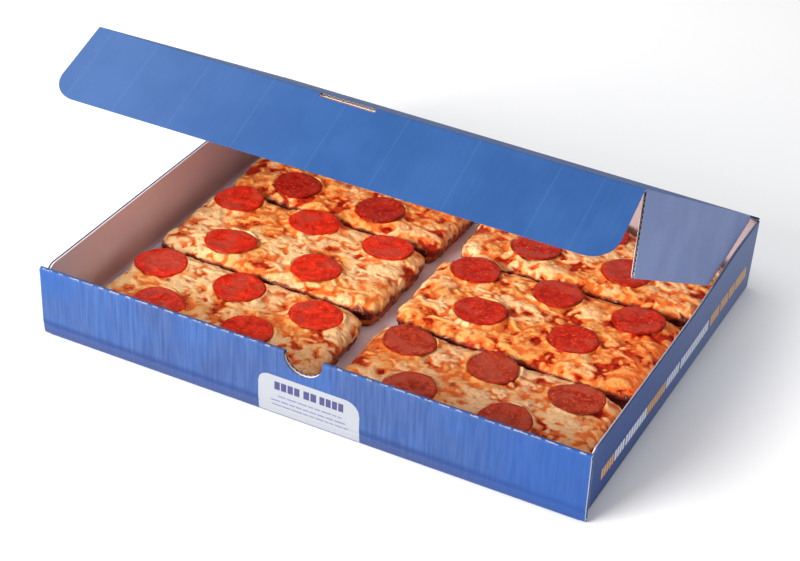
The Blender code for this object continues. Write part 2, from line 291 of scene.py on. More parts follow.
def plate(bm, outline, layer):
    """A flat closed sheet of the given outline between two heights, added to a bmesh."""
    low, high = layer
    face = bm.faces.new([bm.verts.new((p[0], p[1], low)) for p in outline])
    grown = bmesh.ops.extrude_face_region(bm, geom=[face])
    top = [item for item in grown["geom"] if isinstance(item, bmesh.types.BMVert)]
    bmesh.ops.translate(bm, vec=(0.0, 0.0, high - low), verts=top)
    return bm


# The fluted paper fills a blank: a wave across X whose crests run along Y as far as the blank's edge.
WAVE_STEPS, START_HEIGHT, SAME_PLACE = 10.0, 0.00013, 1e-6
corrugate, given, put = new_group(
    "corrugate",
    {
        "Blank": "Geometry", "Pitch": FLUTE_PITCH, "Wave height": BOARD - 2 * LINER - FLUTE_PAPER,
        "Paper": FLUTE_PAPER, "Side margin": 0.0012, "Set back": 0.0002, "Finish": "Material",
    },
    {"Fluted paper": "Geometry"}, "GeometryNodeTree",
)


def position(tree):
    return split(add(tree, "GeometryNodeInputPosition").outputs[0])


def vector(tree, **parts):
    return add(tree, "ShaderNodeCombineXYZ", parts).outputs[0]


extent = add(corrugate, "GeometryNodeBoundBox", {"Geometry": given["Blank"]}).outputs
least, most = split(extent["Min"]), split(extent["Max"])
width = less(less(most["X"], least["X"]), times(given["Side margin"], 2.0))
middle_x, middle_y = (times(maths("ADD", most[axis], least[axis]), 0.5) for axis in "XY")
columns = times(maths("DIVIDE", width, given["Pitch"]), WAVE_STEPS)
grid = {"Size X": width, "Size Y": 1.0, "Vertices X": columns, "Vertices Y": 2}
grid = add(corrugate, "GeometryNodeMeshGrid", grid).outputs["Mesh"]
spot = position(corrugate)
across, end = maths("ADD", spot["X"], middle_x), maths("SIGN", spot["Y"])
start = vector(corrugate, X=across, Y=middle_y, Z=START_HEIGHT)
found = {"Target Geometry": given["Blank"], "Source Position": start, "Ray Length": 2.0}
found["Ray Direction"] = vector(corrugate, Y=end)
found = add(corrugate, "GeometryNodeRaycast", found).outputs["Hit Distance"]
reach = scaled(less(found, given["Set back"]), end, middle_y)
wave = maths("SINE", times(maths("DIVIDE", across, given["Pitch"]), 2 * math.pi))
wave = times(wave, times(given["Wave height"], 0.5))
settled = {"Geometry": grid, "Position": vector(corrugate, X=across, Y=reach, Z=wave)}
waved = add(corrugate, "GeometryNodeSetPosition", settled).outputs[0]
thick = {"Mesh": waved, "Offset Scale": given["Paper"], "Individual": False}
thick = add(corrugate, "GeometryNodeExtrudeMesh", thick, mode="FACES").outputs["Mesh"]
back = add(corrugate, "GeometryNodeFlipFaces", {"Mesh": waved}).outputs[0]
both = add(corrugate, "GeometryNodeJoinGeometry")
for half in (thick, back):
    corrugate.links.new(half, both.inputs[0])
sealed = {"Geometry": both.outputs[0], "Distance": SAME_PLACE}
sealed = add(corrugate, "GeometryNodeMergeByDistance", sealed).outputs[0]
real = add(corrugate, "GeometryNodeRealizeInstances", {"Geometry": sealed}).outputs[0]
dressed = add(corrugate, "GeometryNodeSetMaterial", {"Geometry": real, "Material": given["Finish"]}).outputs[0]
feed(put, Fluted_paper=dressed)


def with_nodes(obj, tree, values):
    """Runs a Geometry Nodes tree on an object and bakes the result to a plain mesh."""
    step = obj.modifiers.new(tree.name, "NODES")
    step.node_group = tree
    for label, value in values.items():
        step[tree.interface.items_tree[label].identifier] = value
    return baked(obj)


flute_brown = plain_paper("flute_brown", 0.85, (0.36, 0.23, 0.13), (0.55, 0.40, 0.26), bump=0.00008)


def fluted(name, outline, frame_matrix, body, quarter_turn=False):
    """The fluted paper of one panel. Its flutes run along the panel's Y, or along X after a quarter turn."""
    turn = Matrix.Rotation(math.radians(90.0 if quarter_turn else 0.0), 4, "Z")
    blank = [turn.inverted() @ Vector((p[0], p[1], 0.0)) for p in outline]
    bm = plate(bmesh.new(), blank, (-BOARD / 2, BOARD / 2))
    mesh = with_nodes(loose(name, bm), corrugate, {"Finish": flute_brown})
    mesh.transform(frame_matrix @ turn)
    finished(name, mesh, None, body)


# ---------------------------------------------------------------- tray
# The floor, back wall and side walls fold up from one sheet, which rounds over at each crease. The
# side walls' top edges are cut along the flutes, so their two papers show as thin pale lines.
WIDTH, DEPTH, HEIGHT = 0.380, 0.328, 0.0545
FRONT_LEAN = 0.007
FRONT_THICK = 2 * BOARD
FRONT_HALF = 0.193
FOLD_RADIUS, INNER_RADIUS = 0.0018, 0.0006
WALL_CORNER = 0.010
LINING = 0.0007  # the inner paper, and the crushed fluting glued to it
GLUE = 0.00002
RIGHT_BOW = 0.0027  # how far the top of the right wall leans out where no flap or corner holds it
BOW_END, BOW_LENGTH = 0.125, 0.115
LONG_CUTS, HIGH_CUTS = 40, 8

# Flute lines: the ribs of the fluted paper show through as a faint washboard, with odd rubbed lines.
flute_lines, given, put = new_group(
    "flute_lines", {"Across": 0.0, "Place": "Vector"}, {"Rib": "Float", "Streak": "Float", "Crease": "Float"}
)
fine = {"W": times(given["Across"], 520.0), "Detail": 3.0}
fine = add(flute_lines, "ShaderNodeTexNoise", fine, noise_dimensions="1D").outputs[0]
along = add(flute_lines, "ShaderNodeMapping", {"Vector": given["Place"], "Scale": (420.0, 30.0, 30.0)})
crease = add(
    flute_lines, "ShaderNodeTexVoronoi", {"W": given["Across"], "Scale": 24.0, "Randomness": 0.8},
    voronoi_dimensions="1D", feature="DISTANCE_TO_EDGE",
).outputs["Distance"]
feed(
    put, Rib=maths("SINE", times(given["Across"], 2 * math.pi / FLUTE_PITCH)),
    Streak=stepped(times(fine, noise(along.outputs[0], 1.0, 2.0)), 0.12, 0.42),
    Crease=less(1.0, stepped(crease, 0.006, 0.020)),
)


def printed_paper(name, axis, deep, bright, streaks, creases=0.0, specks=0.0, painted_sheen=0.0, paler_back=0.0, painted_shade_and_tints=None):
    """The outer paper: blue ink over white, its lines running along the flutes."""
    made, shader, place = surface(name, 0.55, Specular_IOR_Level=0.12)
    parts = split(place)
    grain = placed(paper_grain, Place=place)
    lines = placed(flute_lines, Across=parts[axis], Place=place)
    ink = mixed(stepped(grain["Cloud"], 0.35, 0.68), deep, bright)
    paler, darker = mixed(0.20, ink, (0.20, 0.30, 0.60)), mixed(0.35, ink, (0.010, 0.035, 0.16))
    speck = add(shader.id_data, "ShaderNodeTexVoronoi", {"Vector": place, "Scale": 620.0}).outputs["Distance"]
    speck = times(less(1.0, stepped(speck, 0.12, 0.26)), stepped(grain["Fibre"], 0.46, 0.56))
    ink = washed(
        ink,
        (streaks, mixed(lines["Streak"], darker, paler)),
        (times(lines["Crease"], creases), (0.085, 0.150, 0.340)),
        # painted sheen: the print pales towards the left end
        (times(stepped(times(parts["X"], -1.0), -0.02, 0.19), painted_sheen), (0.20, 0.26, 0.40)),
        # paler and greyer towards the back
        (times(stepped(parts["Y"], -0.19, 0.15), paler_back), (0.15, 0.20, 0.38)),
        (times(speck, specks), (0.010, 0.016, 0.08)),
        *(painted_shade_and_tints(parts) if painted_shade_and_tints else ()),
    )
    feed(shader.inputs, Base_Color=ink, Roughness=scaled(grain["Fibre"], 0.16, 0.46))
    relief = scaled(lines["Rib"], 0.30 * streaks + 0.05, grain["Fibre"])
    bumped(shader, less(relief, times(lines["Crease"], 2.5 * creases)), 0.00006)
    return made


wall_print = printed_paper("wall_print", "Z", (0.022, 0.058, 0.215), (0.027, 0.068, 0.245), 0.25, paler_back=0.9)
# Painted shade: the tray's fluting is dark blue, so the slot between the papers at the wall tops reads as
# shade.
painted_shade_edge = plain_paper("painted_shade_edge", 0.8, (0.050, 0.090, 0.190), (0.110, 0.150, 0.260), bump=0.00008)

# The inner paper is painted a pinkish white, and warmer low on the walls, as reflected light from the red food;
# it is painted brighter and cooler on the floor, as light in the shaded gaps, darker towards the back, as the
# lid's shade, and is spotted with grease low on the walls. The right wall's cut rim is painted grey, as shade
# under the side flap.
inner_paper, shader, place = surface("inner_paper", 0.6, Specular_IOR_Level=0.3)
parts = split(place)
grain = placed(paper_grain, Place=place)
lines = placed(flute_lines, Across=parts["X"], Place=place)
floor = less(1.0, stepped(parts["Z"], 0.003, 0.008))
# painted shade of the lid: darker towards the back, off the floor
lid_shade = times(stepped(parts["Y"], -0.10, 0.13), stepped(parts["Z"], 0.056, 0.0545))
grease = times(stepped(grain["Cloud"], 0.50, 0.62), stepped(parts["Z"], 0.040, 0.010))
right_rim = times(stepped(parts["Z"], 0.0542, 0.0544), stepped(parts["X"], 0.184, 0.186))
paper = washed(
    # a pinkish white: painted reflected light from the red food
    mixed(grain["Cloud"], (0.80, 0.69, 0.70), (0.70, 0.60, 0.61)),
    # warmer low on the walls: more painted reflected light from the food
    (times(stepped(parts["Z"], 0.034, 0.010), 0.70), (0.66, 0.31, 0.21)),
    # brighter and cooler on the floor: painted light in the shaded gaps
    (floor, (0.90, 0.86, 0.92)),
    # darker towards the back, off the floor: painted shade of the lid
    (times(lid_shade, scaled(floor, -0.8, 0.8)), (0.40, 0.32, 0.33)),
    (times(times(grease, less(1.0, floor)), 0.35), (0.62, 0.42, 0.34)),
    # the right wall's top rim painted grey: painted shade under the side flap
    (times(right_rim, 0.75), (0.30, 0.32, 0.40)),
)
feed(shader.inputs, Base_Color=paper)
bumped(shader, scaled(lines["Rib"], 0.3, grain["Fibre"]), 0.00005)


def bow(point):
    """How far the right wall stands out at a place on it: all of the bow in front, none at the back."""
    free = min(max((BOW_END - point.y) / BOW_LENGTH, 0.0), 1.0)
    return RIGHT_BOW * free * free * (3 - 2 * free) * max(point.z, 0.0) / HEIGHT


def thickened(obj, thickness, side, even=False):
    """Gives a surface its thickness, outwards where side is 1 and inwards where it is -1."""
    layer = obj.modifiers.new("thickness", "SOLIDIFY")
    layer.thickness, layer.offset, layer.use_even_offset = thickness, side, even
    return obj


def folded_sheet(name, inset, radius, thickness, drop, material, stands_for=()):
    """One layer of the folded sheet: its outer face lies inset from the outside of the board."""
    bm = bmesh.new()
    bmesh.ops.create_cube(bm, size=1.0)
    high = HEIGHT - drop
    bmesh.ops.scale(bm, vec=(WIDTH - 2 * inset, DEPTH - 2 * inset, high - inset), verts=bm.verts)
    bmesh.ops.translate(bm, vec=(0.0, 0.0, (high + inset) / 2), verts=bm.verts)
    gone = [f for f in bm.faces if f.normal.z > 0.9 or f.normal.y < -0.9]
    bmesh.ops.delete(bm, geom=gone, context="FACES_ONLY")
    bmesh.ops.delete(bm, geom=[e for e in bm.edges if not e.link_faces], context="EDGES")
    for vert in bm.verts:
        if vert.co.y < 0.0:
            vert.co.y = -DEPTH / 2 + FRONT_THICK / 2
            if vert.co.z > HEIGHT / 2:
                vert.co.y -= FRONT_LEAN
    corners = [v for v in bm.verts if v.co.y < 0 and v.co.z > HEIGHT / 2]
    bmesh.ops.bevel(bm, geom=corners, offset=WALL_CORNER, segments=10, affect="VERTICES", profile=0.5)
    folds = [e for e in bm.edges if len(e.link_faces) == 2]
    bmesh.ops.bevel(bm, geom=folds, offset=radius, segments=6, affect="EDGES", profile=0.5)
    cuts = [((0.0, DEPTH * (step / LONG_CUTS - 0.5), 0.0), (0.0, 1.0, 0.0)) for step in range(1, LONG_CUTS)]
    cuts += [((0.0, 0.0, HEIGHT * step / HIGH_CUTS), (0.0, 0.0, 1.0)) for step in range(1, HIGH_CUTS)]
    for where, across in cuts:
        everything = list(bm.verts) + list(bm.edges) + list(bm.faces)
        bmesh.ops.bisect_plane(bm, geom=everything, dist=SAME_PLACE, plane_co=where, plane_no=across)
    for vert in bm.verts:
        if vert.co.x > WIDTH / 2 - BOARD - radius:
            vert.co.x += bow(vert.co)
    bmesh.ops.recalc_face_normals(bm, faces=bm.faces)
    if sum(f.normal.z * f.calc_area() for f in bm.faces) > 0:
        bmesh.ops.reverse_faces(bm, faces=bm.faces)
    mesh = baked(thickened(loose(name, bm), thickness, -1.0, even=True))
    finished(name, mesh, material, "tray", stands_for=stands_for)


folded_sheet("tray_outer_paper", 0.0, FOLD_RADIUS, LINER, 0.0, wall_print, ("tray",))
# its fluting is painted dark, as shade in the slot at the wall tops
folded_sheet(
    "tray_fluting", LINER + GLUE, FOLD_RADIUS * 0.8, BOARD - LINER - LINING - 2 * GLUE, LINING, painted_shade_edge)
folded_sheet("tray_inner_paper", BOARD - LINING, INNER_RADIUS, LINING, 0.0, inner_paper)

# The right wall's print is a row of plain upright blocks in white and orange, grouped in word-long runs.
BAR_LOW, BAR_HIGH, BAR_SLANT = 0.0155, 0.0250, -0.0025
BLOCK_PITCH, BLOCK_GAP = 0.0046, 0.0013
INK_THICK = 0.00008
ORANGE_RUNS = (
    (-0.1370, -0.1160), (-0.0555, -0.0215), (0.0715, 0.0905), (0.0940, 0.1100), (0.1130, 0.1250),
    (0.1275, 0.1500),
)
WHITE_RUNS = ((-0.1140, -0.0970), (-0.0945, -0.0570), (-0.0190, 0.0055), (0.0090, 0.0665))

orange_ink = plain_paper("orange_ink", 0.5, (0.66, 0.33, 0.085), (0.78, 0.42, 0.120))
pale_ink = plain_paper("pale_ink", 0.5, (0.66, 0.70, 0.80), (0.80, 0.83, 0.90))


def inked(name, bm, ink):
    """A printed patch: a flat shape on a wall, given the ink's thickness."""
    finished(name, baked(thickened(loose(name, bm), INK_THICK, 1.0)), ink, "tray")


def blocks_along(near, far, blocks, gap):
    """Where each of a run's blocks starts and ends."""
    pitch = (far - near + gap) / blocks
    return [(near + block * pitch, near + block * pitch + pitch - gap) for block in range(blocks)]


for word, ink, runs in (("orange", orange_ink, ORANGE_RUNS), ("white", pale_ink, WHITE_RUNS)):
    bm = bmesh.new()
    for near, far in runs:
        for ends in blocks_along(near, far, round((far - near + BLOCK_GAP) / BLOCK_PITCH), BLOCK_GAP):
            low, high = (
                [Vector((WIDTH / 2, y + slant, height)) for y in ends]
                for height, slant in ((BAR_LOW, 0.0), (BAR_HIGH, BAR_SLANT))
            )
            corners = (low[0], low[1], high[1], high[0])
            bm.faces.new([bm.verts.new(point + Vector((bow(point), 0.0, 0.0))) for point in corners])
    inked(f"side_wall_{word}_bars", bm, ink)

# ---------------------------------------------------------------- front wall
# The front wall is the same sheet rolled over a perforated fold, two boards thick and leaning out, with
# a round thumb notch cut through both. The fold's cuts have torn, so the white inside of the paper shows.
NOTCH_RADIUS, NOTCH_DEPTH = 0.0135, 0.0155
ROLL_RADIUS = 0.0019
FOOT_START, FOOT_OUT, FOOT_RISE = 0.0030, 0.0027, 0.0048
PRESSED_IN = ((0.0062, 0.0004), (0.0076, 0.00055), (0.0084, 0.0005), (0.0096, 0.00015))  # the crease above it
OUTER_HEIGHTS = (0.0110, 0.016, 0.022, 0.029, 0.036, 0.043, 0.049)
INNER_HEIGHTS = (0.045, 0.030, 0.015, 0.0022)
END_GAP = 0.0004
LINING_FOOT, LINING_TOP, FLUTE_FOOT, FLUTE_TOP = 0.0016, 0.0505, 0.0120, 0.0515
front_y = -DEPTH / 2


def painted_shade_and_tints(parts):
    """The front's own coats: painted shade in the crease above the foot and on the foot, with painted
    floor-bounced light there too, a bluer upper left corner and right end, and cut ends painted grey-blue as
    shade.
    """
    across, height = parts["X"], parts["Z"]
    groove = less(1.0, stepped(maths("ABSOLUTE", less(height, 0.0100)), 0.0004, 0.0046))
    corner = times(stepped(across, -0.14, -0.19), stepped(height, 0.022, 0.046))
    return (
        # painted shade in the crease above the foot, and painted shade and floor-bounced light on the foot
        # below
        (times(groove, 0.62), (0.014, 0.032, 0.13)),
        (times(less(1.0, stepped(height, 0.0050, 0.0085)), 0.70), (0.038, 0.054, 0.140)),
        (times(corner, 0.60), (0.012, 0.070, 0.260)),
        (times(stepped(across, 0.06, 0.18), 0.60), (0.012, 0.058, 0.235)),
        # painted shade: the cut ends are grey-blue rather than white
        (stepped(maths("ABSOLUTE", across), 0.1924, 0.1927), (0.20, 0.25, 0.36)),
    )


front_print = printed_paper("front_print", "X", (0.030, 0.058, 0.160), (0.026, 0.070, 0.215), 0.6, painted_shade_and_tints=painted_shade_and_tints)


def lean(height):
    return -FRONT_LEAN * height / HEIGHT


def turned(start, stop, step):
    """Angles in radians from start to stop degrees."""
    return [math.radians(angle) for angle in range(start, stop, step)]


outer_profile = [(front_y + FOOT_START + 0.0010, 0.0), (front_y + FOOT_START, 0.0)]
outer_profile += [
    (front_y + FOOT_START - FOOT_OUT * math.sin(a), FOOT_RISE * (1 - math.cos(a))) for a in turned(10, 81, 10)
]
outer_profile += [(front_y + lean(z) + pressed, z) for z, pressed in PRESSED_IN]
outer_profile += [(front_y + lean(z), z) for z in OUTER_HEIGHTS]
middle = front_y + lean(HEIGHT) + FRONT_THICK / 2
roll = [
    (middle - FRONT_THICK / 2 * math.cos(a), HEIGHT - ROLL_RADIUS + ROLL_RADIUS * math.sin(a))
    for a in turned(0, 181, 15)
]
inner_profile = [(front_y + FRONT_THICK + lean(z), z) for z in INNER_HEIGHTS]


def swept(points, lows, highs, x_steps):
    """A surface with the given profile in Y and Z, along X."""
    bm = bmesh.new()
    rows = []
    for step in range(x_steps + 1):
        x = lows + (highs - lows) * step / x_steps
        rows.append([bm.verts.new((x, y, z)) for y, z in points])
    for a, b in zip(rows, rows[1:]):
        for k in range(len(points) - 1):
            bm.faces.new((a[k], b[k], b[k + 1], a[k + 1]))
    return bm


def notch_arc(angles):
    """Points round the thumb notch, as X and height."""
    low = HEIGHT - NOTCH_DEPTH + NOTCH_RADIUS
    return [(NOTCH_RADIUS * math.cos(a), low + NOTCH_RADIUS * math.sin(a)) for a in angles]


def set_down(bm, frame_matrix):
    """Turns a flat sheet's faces outwards and moves it to its place on the box."""
    bmesh.ops.recalc_face_normals(bm, faces=bm.faces)
    bmesh.ops.transform(bm, matrix=frame_matrix, verts=bm.verts)
    return bm


def notched(obj):
    """Cuts the thumb notch through a piece of the front wall."""
    above = HEIGHT + 0.004
    outline = [(-NOTCH_RADIUS, above)] + notch_arc(turned(180, 361, 5)) + [(NOTCH_RADIUS, above)]
    bm = plate(bmesh.new(), outline, (-0.02, 0.02))
    upright = Matrix.Translation((0.0, front_y, 0.0)) @ Matrix.Rotation(math.radians(90.0), 4, "X")
    tool = loose("notch", set_down(bm, upright))
    cut = obj.modifiers.new("notch", "BOOLEAN")
    cut.operation, cut.solver, cut.object = "DIFFERENCE", "EXACT", tool
    mesh = baked(obj)
    bpy.data.objects.remove(tool, do_unlink=True)
    return mesh


skin = loose("front_skin", swept(outer_profile + roll + inner_profile, -FRONT_HALF, FRONT_HALF, 60))
finished("front_wall_paper", notched(thickened(skin, LINER, -1.0)), front_print, "tray")

slope = math.atan(FRONT_LEAN / HEIGHT)
leaning = Matrix.Translation((0.0, front_y + FRONT_THICK / 2, 0.0))
leaning = leaning @ Matrix.Rotation(math.radians(90.0) + slope, 4, "X")
end_x = FRONT_HALF - END_GAP
outline = [(-end_x, LINING_FOOT), (end_x, LINING_FOOT), (end_x, LINING_TOP), (-end_x, LINING_TOP)]
bm = set_down(plate(bmesh.new(), outline, (-LINER, LINER)), leaning)
finished("front_wall_lining", notched(loose("lining", bm)), inner_paper, "tray")

blank = [(-end_x, FLUTE_FOOT), (end_x, FLUTE_FOOT), (end_x, FLUTE_TOP), (NOTCH_RADIUS, FLUTE_TOP)]
stretched = [(x, z / math.cos(slope)) for x, z in notch_arc(turned(360, 179, -5))]
blank += [p for p in stretched if p[1] < FLUTE_TOP - 0.0001]
blank += [(-NOTCH_RADIUS, FLUTE_TOP), (-end_x, FLUTE_TOP)]
for side, name in ((1, "outer"), (-1, "inner")):
    shifted = leaning @ Matrix.Translation((0.0, 0.0, side * BOARD / 2))
    fluted(f"front_wall_{name}_fluting", blank, shifted, "tray")

# The label is a white field left in the print, with round upper corners, running down round the foot.
# It carries a heading of plain indigo blocks in three runs, over three lines of short dashes.
LABEL_LEFT, LABEL_RIGHT, LABEL_TOP, LABEL_FOOT = -0.0315, 0.0400, 0.0325, 0.00005
LEFT_CORNER, RIGHT_CORNER = 0.0075, 0.0105
HEADING, HEADING_GAP = ((-0.0199, -0.0021, 4), (0.0007, 0.0097, 2), (0.0120, 0.0287, 4)), 0.0009
HEADING_BAND = (0.0216, 0.0280)
SMALL_PRINT = ((-0.0175, 0.0275, 0.0166), (-0.0224, 0.0330, 0.0126), (-0.0217, 0.0320, 0.0088))
DASH_HEIGHT, DASH_LENGTH, DASH_GAP, SHORTEST_REST = 0.0011, (0.0025, 0.0075), 0.0009, 0.002
FIELD_LIFT, WORD_LIFT = 0.00002, 0.00008

# Painted shade: the label's white is set grey, to offset the strong front light on the front wall.
white_ink = plain_paper("white_ink", 0.5, (0.250, 0.265, 0.295), (0.275, 0.290, 0.320), "Cloud", 0.00004)
indigo_ink = plain_paper("indigo_ink", 0.5, (0.026, 0.025, 0.100), (0.036, 0.034, 0.125))
lilac_ink = plain_paper("lilac_ink", 0.5, (0.110, 0.105, 0.210), (0.160, 0.155, 0.260))


def wall_face(height):
    """Y of the front wall's outer face at a height, worked out along its profile."""
    lower = max((p for p in outer_profile if p[1] <= height), key=lambda p: (p[1], -p[0]))
    upper = min((p for p in outer_profile if p[1] > height), key=lambda p: p[1], default=None)
    if upper is None:
        return front_y + lean(height)
    share = (height - lower[1]) / (upper[1] - lower[1])
    return lower[0] + share * (upper[0] - lower[0])


def ink_field(bm, lows, highs, outline, columns, rows, lift):
    """A printed patch on the wall's face: outline(x) gives its lowest and highest point."""
    grid = []
    for column in range(columns + 1):
        x = lows + (highs - lows) * column / columns
        low, high = outline(x)
        heights = [low + (high - low) * row / rows for row in range(rows + 1)]
        grid.append([bm.verts.new((x, wall_face(z) - lift, z)) for z in heights])
    for a, b in zip(grid, grid[1:]):
        for k in range(rows):
            bm.faces.new((a[k], b[k], b[k + 1], a[k + 1]))


def label_outline(x):
    high = LABEL_TOP
    for end, radius in ((LABEL_LEFT, LEFT_CORNER), (LABEL_RIGHT, RIGHT_CORNER)):
        inside = radius - abs(x - end)
        if inside > 0.0:
            high = LABEL_TOP - radius + math.sqrt(radius ** 2 - inside ** 2)
    return LABEL_FOOT, high


bm = bmesh.new()
ink_field(bm, LABEL_LEFT, LABEL_RIGHT, label_outline, 90, 40, FIELD_LIFT)
inked("front_label", bm, white_ink)
bm = bmesh.new()
for left, right, blocks in HEADING:
    for start, end in blocks_along(left, right, blocks, HEADING_GAP):
        ink_field(bm, start, end, lambda x: HEADING_BAND, 4, 3, WORD_LIFT)
inked("front_label_heading", bm, indigo_ink)
bm = bmesh.new()
rng = np.random.default_rng(7)
for left, right, height in SMALL_PRINT:
    x = left
    while x < right - SHORTEST_REST:
        end = min(x + rng.uniform(*DASH_LENGTH), right)
        ink_field(bm, x, end, lambda x: (height - DASH_HEIGHT / 2, height + DASH_HEIGHT / 2), 2, 1, WORD_LIFT)
        x = end + DASH_GAP
inked("front_label_lines", bm, lilac_ink)

# The torn bridges of the perforated fold: short ragged lips of white paper fibre, one for each cut.
TORN_DEPTH, TORN_DROP = 0.00075, 0.00035
# Painted shade: the torn fibre's white is set blue-grey, to offset the strong front light.
torn_paper = plain_paper("torn_paper", 0.8, (0.090, 0.130, 0.240), (0.260, 0.275, 0.320), bump=0.0001)
torn_fold, given, put = new_group(
    "torn_fold",
    {
        "Length": 2 * FRONT_HALF - 0.012, "Lips": 38, "Lip length": 0.0074, "Lip height": 0.0008,
        "Lip thickness": 0.0005, "Notch": NOTCH_RADIUS + 0.003, "Seed": 4, "Finish": "Material",
    },
    {"Lips": "Geometry"}, "GeometryNodeTree",
)
middle = times(given["Length"], 0.5)
cuts = {
    "Count": given["Lips"], "Start Location": vector(torn_fold, X=times(middle, -1.0)),
    "Offset": vector(torn_fold, X=middle),
}
cuts = add(torn_fold, "GeometryNodeMeshLine", cuts, mode="END_POINTS").outputs[0]
in_notch = maths("LESS_THAN", maths("ABSOLUTE", position(torn_fold)["X"]), given["Notch"])
kept = add(torn_fold, "GeometryNodeDeleteGeometry", {"Geometry": cuts, "Selection": in_notch}).outputs[0]
bar_size = vector(torn_fold, X=given["Lip length"], Y=given["Lip thickness"], Z=given["Lip height"])
bar = {"Size": bar_size, "Vertices X": 15, "Vertices Y": 2, "Vertices Z": 4}
bar = add(torn_fold, "GeometryNodeMeshCube", bar).outputs["Mesh"]
stretch = {"Min": (0.45, 0.8, 0.5), "Max": (1.25, 1.2, 1.3), "Seed": given["Seed"]}
stretch = add(torn_fold, "FunctionNodeRandomValue", stretch, data_type="FLOAT_VECTOR").outputs["Value"]
lips = {"Points": kept, "Instance": bar, "Scale": stretch}
lips = add(torn_fold, "GeometryNodeInstanceOnPoints", lips).outputs[0]
real = add(torn_fold, "GeometryNodeRealizeInstances", {"Geometry": lips}).outputs[0]
place = add(torn_fold, "GeometryNodeInputPosition").outputs[0]
ragged = add(torn_fold, "ShaderNodeTexNoise", {"Vector": place, "Scale": 650.0, "Detail": 2.0}).outputs["Color"]
for operation, amount in (("SUBTRACT", (0.5, 0.5, 0.5)), ("MULTIPLY", (0.0012, 0.0007, 0.0022))):
    ragged = add(torn_fold, "ShaderNodeVectorMath", {0: ragged, 1: amount}, operation=operation).outputs[0]
torn = add(torn_fold, "GeometryNodeSetPosition", {"Geometry": real, "Offset": ragged}).outputs[0]
dressed = add(torn_fold, "GeometryNodeSetMaterial", {"Geometry": torn, "Material": given["Finish"]})
feed(put, Lips=dressed.outputs[0])

mesh = with_nodes(loose("lips", bmesh.new()), torn_fold, {"Finish": torn_paper})
mesh.transform(Matrix.Translation((0.0, front_y + lean(HEIGHT) + TORN_DEPTH, HEIGHT - TORN_DROP)))
finished("front_wall_torn_fold", mesh, None, "tray")

# ---------------------------------------------------------------- lid
# The lid is the same board, hinged on the back wall's top. Its edges are crushed thin where the side
# flaps fold, and a slot beside its front crease takes the locking tab.
LID_OPEN = math.radians(28.3)
LID_REACH, LID_HALF = 0.3200, 0.1817
SHOULDER_HALF, SHOULDER_END, TAPER_END = 0.1893, 0.002, 0.0052
CREASE_GAP, CREASE_RUN, CREASE_STEP = 0.0013, 0.0028, 0.00105
SLOT_LEFT, SLOT_RIGHT, SLOT_NEAR, SLOT_FAR = -0.027, 0.011, 0.0012, 0.0047
CRUSHED_LOW, CRUSHED_HIGH = 0.0006, 0.00071

# Painted sheen: the lid's print pales towards its left end.
lid_print = printed_paper(
    "lid_print", "X", (0.014, 0.060, 0.192), (0.019, 0.070, 0.215), 0.08, creases=0.11, painted_sheen=0.14)

OUTER_WRAP, INNER_WRAP = (90.0, -40.0), (-40.0, -90.0)  # how far each paper goes round a fold, in degrees


def fold_round(bm, low, high, wrap, up=1, steps=6):
    """One paper's share of the rounded fold at y >= 0, from x low to x high, round the crease line."""
    rings = []
    for x in (low, high):
        angles = [math.radians(wrap[0] + (wrap[1] - wrap[0]) * step / steps) for step in range(steps + 1)]
        profile = [(0.0, 0.0)] + [(BOARD / 2 * math.cos(a), up * BOARD / 2 * math.sin(a)) for a in angles]
        rings.append([bm.verts.new((x, y, z)) for y, z in profile])
        bm.faces.new(rings[-1])
    for k in range(steps + 2):
        bm.faces.new((rings[0][k - 1], rings[0][k], rings[1][k], rings[1][k - 1]))


def sheet_mesh(bm, frame_matrix):
    mesh = bpy.data.meshes.new("sheet")
    set_down(bm, frame_matrix).to_mesh(mesh)
    bm.free()
    return mesh


hinge = Matrix.Translation((0.0, DEPTH / 2 - BOARD / 2, HEIGHT + CREASE_GAP))
lid_frame = hinge @ Matrix.Rotation(-LID_OPEN, 4, "X")
lid_front = -LID_REACH + CREASE_STEP
slot_near, slot_far = (-LID_REACH + CREASE_GAP + reach for reach in (SLOT_NEAR, SLOT_FAR))


def lid_outline(half):
    return [
        (SHOULDER_HALF, 0.0), (-SHOULDER_HALF, 0.0), (-SHOULDER_HALF, -SHOULDER_END), (-half, -TAPER_END),
        (-half, lid_front), (SLOT_LEFT, lid_front), (SLOT_LEFT, slot_far), (SLOT_RIGHT, slot_far),
        (SLOT_RIGHT, lid_front), (half, lid_front), (half, -TAPER_END), (SHOULDER_HALF, -SHOULDER_END),
    ]


slot_lip = [(SLOT_LEFT, lid_front), (SLOT_RIGHT, lid_front), (SLOT_RIGHT, slot_near), (SLOT_LEFT, slot_near)]
wide, narrow = LID_HALF + 0.0002, LID_HALF - CREASE_RUN
bm = plate(plate(bmesh.new(), lid_outline(wide), OUTER_LAYER), slot_lip, OUTER_LAYER)
fold_round(bm, -SHOULDER_HALF, SHOULDER_HALF, OUTER_WRAP)
finished("lid_outer_paper", sheet_mesh(bm, lid_frame), lid_print, "lid", stands_for=("lid",))

